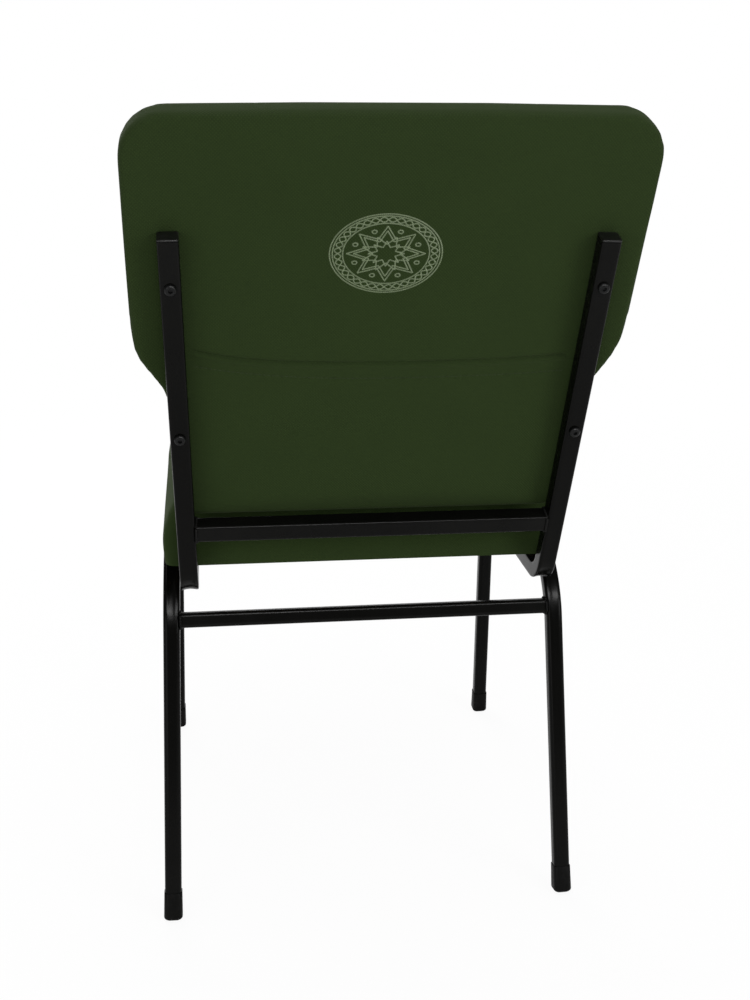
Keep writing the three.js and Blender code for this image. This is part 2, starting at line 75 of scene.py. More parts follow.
class Part(Enum):
    """What an edit-mode selection picks."""

    POINTS = "VERT"
    EDGES = "EDGE"
    FACES = "FACE"


class Side(Enum):
    """The two sides of the chair, as the sitter has them."""

    LEFT = 1
    RIGHT = -1

    @property
    def word(self) -> str:
        """The side's name in the CAD model's node names."""
        return self.name.lower()


# Bumps


def bell(offset: float, width: float) -> float:
    """A smooth bump of height 1 at an offset of 0, a width wide on each side."""
    return math.exp(-((offset / width) ** 2))


def hump(offset: float, reach: float) -> float:
    """A parabola of height 1 at an offset of 0 that falls to 0 at its reach."""
    return max(0.0, 1 - (offset / reach) ** 2)


# Work at the bench


def deselect_all() -> None:
    """Leaves nothing selected, because an operator acts on all that is selected."""
    if bpy.context.mode != "OBJECT":
        close_mesh()
    bpy.ops.object.select_all(action="DESELECT")


def take_up(piece: Piece) -> None:
    """Makes one piece the only selected and active one.

    Args:
        piece: The piece.
    """
    deselect_all()
    piece.select_set(True)
    bpy.context.view_layer.objects.active = piece


def open_mesh(piece: Piece, part: Part = Part.FACES, whole: bool = False) -> None:
    """Opens a piece in edit mode.

    Args:
        piece: The piece.
        part: What a selection picks in it.
        whole: Whether all of it is selected, or nothing.
    """
    take_up(piece)
    bpy.ops.object.mode_set(mode="EDIT")
    bpy.ops.mesh.select_mode(type=part.value)
    bpy.ops.mesh.select_all(action="SELECT" if whole else "DESELECT")


def close_mesh() -> None:
    """Goes back from edit mode to object mode."""
    bpy.ops.object.mode_set(mode="OBJECT")


def pick(piece: Piece, part: Part, test: Test) -> None:
    """Selects only the points, edges or faces of an open mesh that pass a test.

    Args:
        piece: The piece, open in edit mode.
        part: What is picked.
        test: Gets an element's middle and its normal, or an edge's direction.
    """
    bpy.ops.mesh.select_mode(type=part.value)
    bpy.ops.mesh.select_all(action="DESELECT")
    mesh = bmesh.from_edit_mesh(piece.data)
    if part is Part.POINTS:
        elements = [(v, v.co, v.normal) for v in mesh.verts]
    elif part is Part.EDGES:
        ends = [(e, *(v.co for v in e.verts)) for e in mesh.edges]
        elements = [(e, (start + end) / 2, end - start) for e, start, end in ends]
    else:
        elements = [(f, f.calc_center_median(), f.normal) for f in mesh.faces]
    for element, middle, direction in elements:
        if test(middle, direction):
            element.select_set(True)
    mesh.select_flush_mode()
    bmesh.update_edit_mesh(piece.data)


def extrude(move: Sequence[float], size: Sequence[float] | None = None, **settings: Any) -> None:
    """Extrudes what is selected, and resizes what that gives.

    Args:
        move: How far it is drawn out.
        size: What its size is multiplied by, where it changes.
        settings: The resize's other settings.
    """
    bpy.ops.mesh.extrude_region_move(TRANSFORM_OT_translate={"value": move})
    if size:
        bpy.ops.transform.resize(value=size, **settings)


def cut_below(piece: Piece, height: float) -> None:
    """Cuts off the low part of a piece, and closes the cut.

    Args:
        piece: The piece.
        height: The height of the cut.
    """
    open_mesh(piece, whole=True)
    bpy.ops.mesh.bisect(plane_co=(0.0, 0.0, height), plane_no=(0.0, 0.0, 1.0), use_fill=True,
                        clear_inner=True)
    close_mesh()


def finish_modifier(piece: Piece, kind: str, **settings: Any) -> None:
    """Adds a modifier to a piece and applies it.

    Args:
        piece: The piece.
        kind: The modifier's type.
        settings: The modifier's settings.
    """
    take_up(piece)
    modifier = piece.modifiers.new(kind.title(), kind)
    for name, value in settings.items():
        setattr(modifier, name, value)
    bpy.ops.object.modifier_apply(modifier=modifier.name)


def ease(piece: Piece, width: float, segments: int = 2) -> None:
    """Rounds the sharp edges of a piece."""
    finish_modifier(piece, "BEVEL", width=width, segments=segments, limit_method="ANGLE",
                    angle_limit=math.radians(50))


def smooth(piece: Piece, degrees: float) -> None:
    """Shades a piece smooth but for the edges sharper than an angle."""
    take_up(piece)
    bpy.ops.object.shade_smooth_by_angle(angle=math.radians(degrees))


def face_out(piece: Piece) -> None:
    """Merges a piece's doubled points and turns its faces outwards.

    Args:
        piece: The piece.
    """
    open_mesh(piece, whole=True)
    bpy.ops.mesh.remove_doubles(threshold=0.002 * MM)
    bpy.ops.mesh.normals_make_consistent(inside=False)
    close_mesh()


def settle(piece: Piece) -> None:
    """Applies a piece's place, turn and size to its mesh."""
    take_up(piece)
    bpy.ops.object.transform_apply(location=True, rotation=True, scale=True)


def place(piece: Piece, matrix: Matrix) -> None:
    """Moves a piece by a matrix, in its mesh, so that its object stays at the origin."""
    piece.matrix_world = matrix @ piece.matrix_world
    settle(piece)


def name_piece(piece: Piece, name: str) -> Piece:
    """Gives a piece and its mesh the same name, and returns the piece."""
    piece.name = piece.data.name = name
    return piece


def new_piece(name: str, primitive: Callable[..., Any], **settings: Any) -> Piece:
    """Adds a primitive at its size and place.

    Args:
        name: The new piece's name.
        primitive: The operator that adds it.
        settings: The operator's settings.

    Returns:
        The new piece, with its place in its mesh.
    """
    deselect_all()
    primitive(**settings)
    piece = name_piece(bpy.context.active_object, name)
    settle(piece)
    return piece


def copy_as(piece: Piece, name: str) -> Piece:
    """Copies a piece with a mesh of its own.

    Args:
        piece: The piece to copy.
        name: The copy's name.

    Returns:
        The copy.
    """
    twin = piece.copy()
    twin.data = piece.data.copy()
    bpy.context.scene.collection.objects.link(twin)
    return name_piece(twin, name)


def mirrored(piece: Piece, name: str) -> Piece:
    """Copies a closed piece to the other side of the chair's middle plane, its faces outwards.

    Args:
        piece: The piece to copy.
        name: The copy's name.

    Returns:
        The copy.
    """
    twin = copy_as(piece, name)
    place(twin, Matrix.Diagonal((-1, 1, 1, 1)))
    mesh = bmesh.new()
    mesh.from_mesh(twin.data)
    if mesh.calc_volume(signed=True) < 0:
        twin.data.flip_normals()
    mesh.free()
    return twin


def join(pieces: Sequence[Piece], name: str) -> Piece:
    """Joins several pieces into the first.

    Args:
        pieces: The pieces.
        name: The joined piece's name.

    Returns:
        The joined piece.
    """
    take_up(pieces[0])
    for piece in pieces[1:]:
        piece.select_set(True)
    bpy.ops.object.join()
    return name_piece(bpy.context.active_object, name)


def cut_away(piece: Piece, cutter: Piece) -> None:
    """Cuts a closed piece with a closed cutter, and throws the cutter away."""
    finish_modifier(piece, "BOOLEAN", operation="DIFFERENCE", object=cutter, solver="EXACT")
    bpy.data.objects.remove(cutter)


def hand_over(piece: Piece, finish: Material, slot: str, *nodes: str) -> None:
    """Gives a finished piece its material, and hides the CAD nodes that it stands for.

    Args:
        piece: The finished piece, at the origin.
        finish: Its material.
        slot: A material slot's name, not used.
        nodes: The CAD nodes that it replaces, if any.
    """
    piece.data.materials.clear()
    piece.data.materials.append(finish)
    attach(piece, ROOT)
    if nodes:
        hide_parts(*nodes)
    size = [round(side / MM, 1) for side in piece.dimensions]
    log.info("%s: %d faces, %s mm", piece.name, len(piece.data.polygons), size)


# Finishes


def linear(code: str) -> tuple[float, float, float, float]:
    """Turns an sRGB hex colour to the opaque linear one that the shader works in.

    Args:
        code: Six hex digits after a hash sign.

    Returns:
        Red, green, blue and alpha.
    """
    channels = [int(code[i : i + 2], 16) / 255 for i in (1, 3, 5)]
    red, green, blue = [c / 12.92 if c <= 0.04045 else ((c + 0.055) / 1.055) ** 2.4 for c in channels]
    return red, green, blue, 1.0


class Nodes:
    """The node tree of a material or of the world, with one function that adds a node."""

    def __init__(self, owner: Material | bpy.types.World, shader: str = "Principled BSDF") -> None:
        """Opens the owner's tree.

        Args:
            owner: The material or the world.
            shader: The name of the shader that it starts with.
        """
        owner.use_nodes = True
        self.owner = owner
        self.tree = owner.node_tree
        self.shader = self.tree.nodes[shader]

    def add(self, kind: str, inputs: dict[Any, Any] | None = None, out: int | str = 0,
            stops: Sequence[tuple[float, str]] = (), **settings: Any) -> Socket:
        """Adds a node with its settings and links.

        Args:
            kind: The node's type, without the words that all types share.
            inputs: Socket names or numbers, each with a value, or a socket that it is linked to.
            out: The number or name of the output that is wanted.
            stops: A colour ramp's places from 0 to 1, each with its hex colour.
            settings: The node's own properties.

        Returns:
            The output.
        """
        node = self.tree.nodes.new(f"ShaderNode{kind}")
        for name, value in settings.items():
            setattr(node, name, value)
        if stops:
            elements = node.color_ramp.elements
            while len(elements) < len(stops):
                elements.new(0.5)
            for element, (position, code) in zip(elements, stops):
                element.position = position
                element.color = linear(code)
        self.feed(node, inputs or {})
        return node.outputs[out]

    def feed(self, node: bpy.types.Node, inputs: dict[Any, Any]) -> None:
        """Sets or links a node's inputs.

        Args:
            node: The node.
            inputs: Socket names or numbers, each with a value, or a socket that it is linked to.
        """
        for name, value in inputs.items():
            if isinstance(value, Socket):
                self.tree.links.new(value, node.inputs[name])
            else:
                node.inputs[name].default_value = value

    def dress(self, tone: Socket, stops: Sequence[tuple[float, str]], gloss: Socket,
              roughness: tuple[float, float], relief: Socket, depth: float, strength: float,
              constants: dict[str, Any] | None = None) -> Material:
        """Drives the shader by three patterns, and sets what is the same all over.

        Args:
            tone: The pattern that the colour follows.
            stops: The colours along it.
            gloss: The pattern that the roughness follows.
            roughness: The roughness at 0 and at 1.
            relief: The pattern of the relief.
            depth: The relief's depth.
            strength: How much of the relief shows.
            constants: The shader's other inputs by name.

        Returns:
            The material.
        """
        low, high = roughness
        self.feed(self.shader, {
            "Base Color": self.add("ValToRGB", {"Fac": tone}, stops=stops),
            "Roughness": self.add("MapRange", {"Value": gloss, "To Min": low, "To Max": high}),
            "Normal": self.add("Bump", {"Height": relief, "Distance": depth, "Strength": strength}),
            **(constants or {}),
        })
        return self.owner


@dataclass(frozen=True)
class Finish:
    """What every finish has: the material's name, and the starting nodes that its patterns grow from."""

    name: str

    def start(self) -> tuple[Nodes, Socket]:
        """Starts the material: its nodes, and its place on the object."""
        nodes = Nodes(bpy.data.materials.new(self.name))
        return nodes, nodes.add("TexCoord", out="Object")


@dataclass(frozen=True)
class PowderCoatedSteel(Finish):
    """Black powder coat on mild steel tube, sprayed and baked.

    The baked powder leaves a fine orange peel, a satin gloss, and slightly greyer, smoother edges.
    """

    name: str = "black_powder_coat_on_steel"
    body: str = "#050504"
    worn: str = "#131312"
    cloud: float = 40 * MM
    peel: float = 2.2 * MM
    grit: float = 0.5 * MM
    grit_share: float = 0.25

    def material(self) -> Material:
        """Builds the material.

        Returns:
            The material.
        """
        nodes, spot = self.start()
        cloud, peel, grit = [nodes.add("TexNoise", {"Vector": spot, "Scale": 1 / size, "Detail": detail})
                             for size, detail in ((self.cloud, 3.0), (self.peel, 1.0), (self.grit, 1.0))]
        edge = nodes.add("NewGeometry", out="Pointiness")
        wear = nodes.add("MapRange", {"Value": edge, "From Min": 0.52, "From Max": 0.62})
        patch = nodes.add("Math", {0: wear, 1: cloud}, operation="MULTIPLY")
        bumps = nodes.add("Math", {0: grit, 1: self.grit_share, 2: peel}, operation="MULTIPLY_ADD")
        return nodes.dress(tone=patch, stops=[(0.0, self.body), (1.0, self.worn)],
                           gloss=cloud, roughness=(0.17, 0.27), relief=bumps, depth=0.05 * MM,
                           strength=0.5, constants={"Specular IOR Level": 0.07})


@dataclass(frozen=True)
class MouldedPlastic(Finish):
    """Black plastic, injection moulded with a spark-eroded texture.

    The texture scatters the light, so the plastic looks greyer and softer than the powder coat.
    """

    body: str
    scuffed: str
    specular: float
    scuff: float = 9 * MM
    texture: float = 0.7 * MM

    def material(self) -> Material:
        """Builds the material.

        Returns:
            The material.
        """
        nodes, spot = self.start()
        scuff, grain = [nodes.add("TexNoise", {"Vector": spot, "Scale": 1 / size, "Detail": detail})
                        for size, detail in ((self.scuff, 5.0), (self.texture, 2.0))]
        return nodes.dress(tone=scuff, stops=[(0.5, self.body), (0.75, self.scuffed)],
                           gloss=scuff, roughness=(0.32, 0.5), relief=grain, depth=0.05 * MM,
                           strength=0.6, constants={"Specular IOR Level": self.specular})


@dataclass(frozen=True)
class PlatedSteel(Finish):
    """Turned or pressed steel with an electroplated coat.

    Plating keeps the fine turning marks, so the gloss breaks up in small spots.
    """

    body: str
    dulled: str
    metallic: float
    roughness: tuple[float, float]
    specular: float = 0.5
    mottle: float = 1.5 * MM

    def material(self) -> Material:
        """Builds the material.

        Returns:
            The material.
        """
        nodes, spot = self.start()
        mottle = nodes.add("TexNoise", {"Vector": spot, "Scale": 1 / self.mottle, "Detail": 4.0})
        return nodes.dress(tone=mottle, stops=[(0.35, self.body), (0.7, self.dulled)],
                           gloss=mottle, roughness=self.roughness, relief=mottle, depth=0.02 * MM,
                           strength=0.5, constants={"Metallic": self.metallic,
                                                    "Specular IOR Level": self.specular})


@dataclass(frozen=True)
class BirchPlywood(Finish):
    """Rotary-cut birch plywood, sanded and left raw.

    Long, faint grain runs across the board, with darker pore flecks in it.
    """

    name: str = "raw_birch_plywood"
    pale: str = "#C9A877"
    dark: str = "#A98554"
    grain: float = 6 * MM
    pore: float = 1.2 * MM
    stretch: float = 0.08

    def material(self) -> Material:
        """Builds the material.

        Returns:
            The material.
        """
        nodes, spot = self.start()
        along = nodes.add("Mapping", {"Vector": spot, "Scale": (self.stretch, 1.0, 1.0)})
        rings, pores = [nodes.add("TexNoise", {"Vector": along, "Scale": 1 / size, "Detail": detail})
                        for size, detail in ((self.grain, 5.0), (self.pore, 1.0))]
        return nodes.dress(tone=rings, stops=[(0.35, self.dark), (0.65, self.pale)],
                           gloss=pores, roughness=(0.6, 0.8), relief=pores, depth=0.05 * MM, strength=0.5)


@dataclass(frozen=True)
class WovenUpholstery(Finish):
    """Olive polypropylene upholstery cloth, a close plain weave of spun yarn.

    Warp and weft cross like a small basket, the yarn varies a little in shade, and stray fibres give
    a soft sheen at grazing angles. A real yarn is about 0.6 mm apart and is drawn coarser, so that it shows.
    """

    name: str = "olive_woven_upholstery"
    deep: str = "#1F2B12"
    body: str = "#253216"
    light: str = "#2D3A1D"
    fibre: str = "#A9BA90"
    thread: float = 1.5 * MM
    slub: float = 2.5 * MM
    cloud: float = 60 * MM
    slub_share: float = 0.5
    cloud_share: float = 0.35

    def weave(self, nodes: Nodes, axes: Sequence[Socket]) -> Socket:
        """The height of a plain weave in a plane.

        Args:
            nodes: The material's nodes.
            axes: The coordinates across the warp and across the weft.

        Returns:
            A height from 0 to 1.
        """
        waves = []
        for axis in axes:
            turns = nodes.add("Math", {0: axis, 1: math.pi / self.thread}, operation="MULTIPLY")
            waves.append(nodes.add("Math", {0: turns}, operation="SINE"))
        cross = nodes.add("Math", {0: waves[0], 1: waves[1]}, operation="MULTIPLY")
        return nodes.add("MapRange", {"Value": cross, "To Min": 0.0, "To Max": 1.0})

    def material(self) -> Material:
        """Builds the material, with the weave of the plane that each spot of the cover faces.

        Returns:
            The material.
        """
        nodes, spot = self.start()
        across, along, up = nodes.add("SeparateXYZ", {"Vector": spot}).node.outputs
        normal = nodes.add("SeparateXYZ", {"Vector": nodes.add("NewGeometry", out="Normal")}).node.outputs
        height = self.weave(nodes, (across, up))
        for axis, axes in (("X", (along, up)), ("Z", (across, along))):
            facing = nodes.add("Math", {0: normal[axis]}, operation="ABSOLUTE")
            share = nodes.add("MapRange", {"Value": facing, "From Min": 0.6, "From Max": 0.8})
            height = nodes.add("Mix", {"Factor": share, 2: height, 3: self.weave(nodes, axes)})
        slub, cloud = [nodes.add("TexNoise", {"Vector": spot, "Scale": 1 / size, "Detail": detail})
                       for size, detail in ((self.slub, 3.0), (self.cloud, 2.0))]
        shade = nodes.add("Math", {0: slub, 1: self.slub_share, 2: height}, operation="MULTIPLY_ADD")
        tone = nodes.add("Math", {0: cloud, 1: self.cloud_share, 2: shade}, operation="MULTIPLY_ADD")
        even = nodes.add("MapRange", {"Value": tone, "To Min": 0.0, "To Max": 0.55})
        return nodes.dress(tone=even, stops=[(0.1, self.deep), (0.5, self.body), (0.9, self.light)],
                           gloss=slub, roughness=(0.82, 0.96), relief=shade, depth=0.25 * MM, strength=0.55,
                           constants={"Sheen Weight": 0.08, "Sheen Roughness": 0.5,
                                      "Sheen Tint": linear(self.fibre), "Specular IOR Level": 0.06})


@dataclass(frozen=True)
class SewingThread(Finish):
    """Bonded polyester thread, twisted from three plies.

    The twist shows as fine slanting ridges with a soft shine; the crest of each ridge is painted a lighter
    colour, a painted highlight.
    """

    body: str
    ply_painted_highlight: str
    sheen: float = 0.2
    specular: float = 0.5
    twist: float = 0.7 * MM
    slant: float = math.radians(35)

    def material(self) -> Material:
        """Builds the material.

        Returns:
            The material.
        """
        nodes, spot = self.start()
        slant = nodes.add("Mapping", {"Vector": spot, "Rotation": (0.0, self.slant, 0.0)})
        turns = {"Vector": slant, "Scale": 1 / (2 * math.pi * self.twist), "Distortion": 1.0}
        plies = nodes.add("TexWave", turns, out="Fac")
        # The ramp runs from the thread's colour to a painted highlight on the ply ridges.
        return nodes.dress(tone=plies, stops=[(0.2, self.body), (0.8, self.ply_painted_highlight)],
                           gloss=plies, roughness=(0.5, 0.7), relief=plies, depth=0.1 * MM, strength=0.6,
                           constants={"Sheen Weight": self.sheen, "Specular IOR Level": self.specular})


@dataclass(frozen=True)
class SpunDustCloth(Finish):
    """Black spun-bond cloth under the seat, fibres pressed with a small diamond pattern."""

    name: str = "black_spunbond_cloth"
    body: str = "#151515"
    fibre: str = "#242424"
    strand: float = 0.9 * MM
    diamond: float = 2.4 * MM

    def material(self) -> Material:
        """Builds the material.

        Returns:
            The material.
        """
        nodes, spot = self.start()
        turned = nodes.add("Mapping", {"Vector": spot, "Rotation": (0.0, 0.0, math.radians(45))})
        dents = nodes.add("TexVoronoi", {"Vector": turned, "Scale": 1 / self.diamond, "Randomness": 0.1})
        fibres = nodes.add("TexNoise", {"Vector": spot, "Scale": 1 / self.strand, "Detail": 3.0})
        return nodes.dress(tone=fibres, stops=[(0.4, self.body), (0.7, self.fibre)],
                           gloss=fibres, roughness=(0.85, 0.97), relief=dents, depth=0.15 * MM, strength=0.6)


@dataclass
class Finishes:
    """Every material of the chair, built once."""

    powder_coat: Material = field(default_factory=PowderCoatedSteel().material)
    plastic: Material = field(default_factory=MouldedPlastic(
        "black_moulded_polypropylene", "#0E0E0D", "#1B1B1A", specular=0.3).material)
    foot_plastic: Material = field(default_factory=MouldedPlastic(
        "black_moulded_polyethylene", "#080807", "#10100F", specular=0.08).material)
    black_bolt: Material = field(default_factory=PlatedSteel(
        "black_zinc_bolt", "#0B0B0B", "#141515", metallic=0.1, roughness=(0.26, 0.4), specular=0.16).material)
    zinc: Material = field(default_factory=PlatedSteel(
        "bright_zinc_plate", "#B4B5B2", "#9A9B98", metallic=1.0, roughness=(0.28, 0.42)).material)
    plywood: Material = field(default_factory=BirchPlywood().material)
    cloth: Material = field(default_factory=WovenUpholstery().material)
    dust_cloth: Material = field(default_factory=SpunDustCloth().material)
    # Each thread's second colour is the painted highlight on its ply ridges.
    seam_thread: Material = field(default_factory=SewingThread(
        "olive_seam_thread", "#1F2A13", "#29351B", sheen=0.03, specular=0.1).material)
    stitch_thread: Material = field(default_factory=SewingThread(
        "pale_sage_stitching_thread", "#526040", "#6E7D59").material)


# Welded frame


@dataclass(frozen=True)
class Tube:
    """The section of a square steel tube, and what a bend does to it."""

    width: float
    wall: float
    corner: float
    dent: float = 0.0
    sink: float = 0.0


@dataclass(frozen=True)
class Corner:
    """A corner of a tube's path in the chair's side view, with the bend that rounds it."""

    y: float
    z: float
    radius: float = 0.0

    @property
    def point(self) -> Vector:
        """The corner in three dimensions, on the middle plane."""
        return Vector((0.0, self.y, self.z))


@dataclass
class BentTube:
    """One length of square tube, bent in one plane as a ram bender leaves it.

    A bend folds the tube's inner wall in and lets its outer wall sink a little. The fade says how soon
    that ends towards the bend's ends, and the slack is the share by which a length that is looked for may
    be off.
    """

    stock: Tube
    path: Sequence[Corner]
    steps: int = 14
    fade: float = 0.8
    slack: float = 0.1

    def build(self, name: str, seat: Matrix) -> Piece:
        """Sweeps the tube along its path and puts it in its place.

        Args:
            name: The new piece's name.
            seat: From the middle plane, where the path lies, to the tube's place.

        Returns:
            The hollow tube, open at both ends.
        """
        start, second = self.path[0].point, self.path[1].point
        heading = (second - start).normalized()
        tube = new_piece(name, bpy.ops.mesh.primitive_plane_add, size=self.stock.width, location=start,
                         rotation=(math.atan2(-heading.y, heading.z), 0.0, 0.0))
        self.cut_section(tube)
        bends = self.sweep(tube)
        face_out(tube)
        if self.stock.dent:
            self.press(tube, bends)
        finish_modifier(tube, "SUBSURF", levels=1, render_levels=1)
        finish_modifier(tube, "SOLIDIFY", thickness=self.stock.wall, offset=-1.0)
        smooth(tube, 50)
        place(tube, seat)
        return tube

    def cut_section(self, tube: Piece) -> None:
        """Turns the starting square into a round-cornered ring of edges, with points along its flats.

        Args:
            tube: The square, which stays open in edit mode.
        """
        open_mesh(tube, Part.POINTS, whole=True)
        bpy.ops.mesh.bevel(affect="VERTICES", offset=self.stock.corner, segments=3)
        bpy.ops.mesh.select_all(action="SELECT")
        bpy.ops.mesh.delete(type="ONLY_FACE")
        flat = self.stock.width - 2 * self.stock.corner
        pick(tube, Part.EDGES, lambda middle, run: run.length > flat * (1 - self.slack))
        bpy.ops.mesh.subdivide(number_cuts=4)

    def sweep(self, tube: Piece) -> list[tuple[Vector, float, Vector, float]]:
        """Extrudes the ring along the straight runs and spins it round the bends.

        With no window the spin operator turns left-handed, so it is given the turn's negative.

        Args:
            tube: The ring, open in edit mode.

        Returns:
            For each bend its centre, its radius, the direction to its start, and its turn about +X.
        """
        bends = []
        here = self.path[0].point
        bpy.ops.mesh.select_all(action="SELECT")
        for before, corner, after in zip(self.path, self.path[1:], self.path[2:]):
            arriving = (corner.point - before.point).normalized()
            leaving = (after.point - corner.point).normalized()
            turn = math.atan2(arriving.cross(leaving).x, arriving.dot(leaving))
            start = corner.point - arriving * corner.radius * math.tan(abs(turn) / 2)
            inward = Vector((math.copysign(1.0, turn), 0.0, 0.0)).cross(arriving)
            centre = start + inward * corner.radius
            extrude(start - here)
            bpy.ops.mesh.spin(steps=self.steps, angle=-turn, center=centre, axis=(1.0, 0.0, 0.0))
            here = centre + Matrix.Rotation(turn, 3, "X") @ (start - centre)
            bends.append((centre, corner.radius, (start - centre).normalized(), turn))
        extrude(self.path[-1].point - here)
        close_mesh()
        return bends

    def press(self, tube: Piece, bends: Sequence[tuple[Vector, float, Vector, float]]) -> None:
        """Dents the inner walls of the bends and sinks their outer walls.

        Args:
            tube: The swept tube, before its wall gets its thickness.
            bends: What sweep tells of each bend.
        """
        half = self.stock.width / 2
        near, far = half * (1 - self.slack), half * (1 + self.slack)
        groups = {name: tube.vertex_groups.new(name=name) for name in ("dent", "sink")}
        for point in tube.data.vertices:
            for centre, radius, start, turn in bends:
                spoke = Vector((0.0, point.co.y - centre.y, point.co.z - centre.z))
                swept = math.atan2(start.cross(spoke).x, start.dot(spoke)) / turn
                out = spoke.length - radius
                if 0.0 < swept < 1.0 and near < abs(out) <= far:
                    share = math.sin(math.pi * swept) ** self.fade * hump(point.co.x, half)
                    groups["dent" if out < 0 else "sink"].add([point.index], share, "REPLACE")
        for name, depth in (("dent", self.stock.dent), ("sink", self.stock.sink)):
            finish_modifier(tube, "DISPLACE", strength=-depth, mid_level=0.0, vertex_group=name,
                            direction="NORMAL")


@dataclass
class WeldedFrame:
    """The chair's steelwork: two leg frames, two back tubes, a crossbar and a stretcher, with their welds.

    A weld's pools are as flat and as close as shares of its size say, and a ring of welds leaves a share of
    its tube's rounded corners free.
    """

    leg: Tube = Tube(width=18 * MM, wall=1.6 * MM, corner=4.5 * MM, dent=4.2 * MM, sink=2.0 * MM)
    upright: Tube = Tube(width=19 * MM, wall=1.6 * MM, corner=2.6 * MM, dent=5.5 * MM, sink=2.4 * MM)
    bar: Tube = Tube(width=19 * MM, wall=1.6 * MM, corner=2.6 * MM)
    stretcher: Tube = Tube(width=16 * MM, wall=1.4 * MM, corner=3.5 * MM)
    foot_half_spacing: float = 219 * MM
    rail_half_spacing: float = 209.9 * MM
    rail_height: float = 377 * MM
    rear_foot: float = 208 * MM
    rear_knee: float = 114.5 * MM
    front_knee: float = -203 * MM
    front_foot: float = -230 * MM
    leg_bend: float = 95 * MM
    foot_gap: float = 6 * MM
    heel_y: float = 150.3 * MM
    heel_z: float = 366.9 * MM
    upright_half_spacing: float = 190.4 * MM
    top_half_spacing: float = 197.2 * MM
    upright_length: float = 393 * MM
    seat_rail: float = 290 * MM
    heel_bend: float = 28 * MM
    recline: float = math.radians(18)
    bar_height: float = 75.2 * MM
    stretcher_height: float = 320 * MM
    weld: float = 1.8 * MM
    weld_flatness: float = 0.62
    weld_pitch: float = 0.7
    weld_corner: float = 0.7
    rail_welds: tuple[float, ...] = (-110 * MM, -20 * MM, 70 * MM)
    rail_weld_length: float = 26 * MM
    gap: float = 0.3 * MM

    @property
    def lean(self) -> float:
        """How far each leg frame leans in towards its top."""
        return math.asin((self.foot_half_spacing - self.rail_half_spacing) / self.rail_height)

    @property
    def splay(self) -> float:
        """How far each upright leans out towards its top."""
        return math.asin((self.top_half_spacing - self.upright_half_spacing) / self.upright_top.z)

    @property
    def upright_top(self) -> Corner:
        """The upright's upper end, seen from its heel."""
        length = self.upright_length
        return Corner(length * math.sin(self.recline), length * math.cos(self.recline))

    @property
    def back_plane(self) -> Matrix:
        """From the back's own plane to the chair: X across, Y rearwards, Z up the slope."""
        heel = Matrix.Translation((0.0, self.heel_y + CAD_SHIFT, self.heel_z))
        return heel @ Matrix.Rotation(-self.recline, 4, "X")

    def leg_place(self, side: Side) -> Matrix:
        """From the middle plane to a leg frame's own leaning plane."""
        foot = Matrix.Translation((side.value * self.foot_half_spacing, CAD_SHIFT, 0.0))
        return foot @ Matrix.Rotation(-side.value * self.lean, 4, "Y")

    def upright_place(self, side: Side) -> Matrix:
        """From the middle plane to a back tube's own splayed plane."""
        heel = (side.value * self.upright_half_spacing, self.heel_y + CAD_SHIFT, self.heel_z)
        return Matrix.Translation(heel) @ Matrix.Rotation(side.value * self.splay, 4, "Y")

    def leg_x(self, height: float) -> float:
        """Half the spacing of the leg frames at a height."""
        closer = self.foot_half_spacing - self.rail_half_spacing
        return self.foot_half_spacing - closer * height / self.rail_height

    def rear_leg_y(self, height: float) -> float:
        """Where a rear leg's middle line is at a height."""
        return self.rear_foot + (self.rear_knee - self.rear_foot) * height / self.rail_height + CAD_SHIFT

    def upright_x(self, height: float) -> float:
        """Half the spacing of the uprights at a height up their slope."""
        return self.upright_half_spacing + height * math.cos(self.recline) * math.sin(self.splay)

    def build(self, finishes: Finishes) -> None:
        """Builds and dresses the steelwork.

        Args:
            finishes: The materials.
        """
        ends = []
        for foot, knee in ((self.rear_foot, self.rear_knee), (self.front_foot, self.front_knee)):
            share = self.foot_gap / math.hypot(foot - knee, self.rail_height)
            ends.append(Corner(foot + (knee - foot) * share, self.rail_height * share))
        knees = [Corner(knee, self.rail_height, self.leg_bend) for knee in (self.rear_knee, self.front_knee)]
        legs = BentTube(self.leg, [ends[0], *knees, ends[1]], steps=16)
        self.build_pair(legs, self.leg_place(Side.LEFT), "leg_frame_tube", "leg_frame", finishes)
        heel = Corner(0.0, 0.0, self.heel_bend)
        back = BentTube(self.upright, [Corner(-self.seat_rail, 0.0), heel, self.upright_top])
        self.build_pair(back, self.upright_place(Side.LEFT), "back_tube_bent", "back_tube", finishes)
        self.build_cross_tube(self.bar, self.upright_x(self.bar_height) - self.upright.width / 2, self.gap,
                              self.back_plane @ Matrix.Translation((0.0, 0.0, self.bar_height)),
                              "back_crossbar", finishes)
        rake = Matrix.Rotation(math.atan2(self.rear_foot - self.rear_knee, self.rail_height), 4, "X")
        middle = Matrix.Translation((0.0, self.rear_leg_y(self.stretcher_height), self.stretcher_height))
        self.build_cross_tube(self.stretcher, self.leg_x(self.stretcher_height) - self.leg.width / 2,
                              2 * self.gap, middle @ rake, "rear_stretcher", finishes)
        self.build_rail_welds(finishes)

    def build_pair(self, tube: BentTube, seat: Matrix, word: str, node: str, finishes: Finishes) -> None:
        """Bends the left one of a pair of tubes and copies it to the other side.

        Args:
            tube: The tube.
            seat: From the middle plane to the left tube's place.
            word: The pieces' name after their side's.
            node: The CAD nodes' name after their side's.
            finishes: The materials.
        """
        left = tube.build(f"left_{word}", seat)
        right = mirrored(left, f"right_{word}")
        hand_over(left, finishes.powder_coat, "frame_paint", f"left_{node}")
        hand_over(right, finishes.powder_coat, "frame_paint", f"right_{node}")

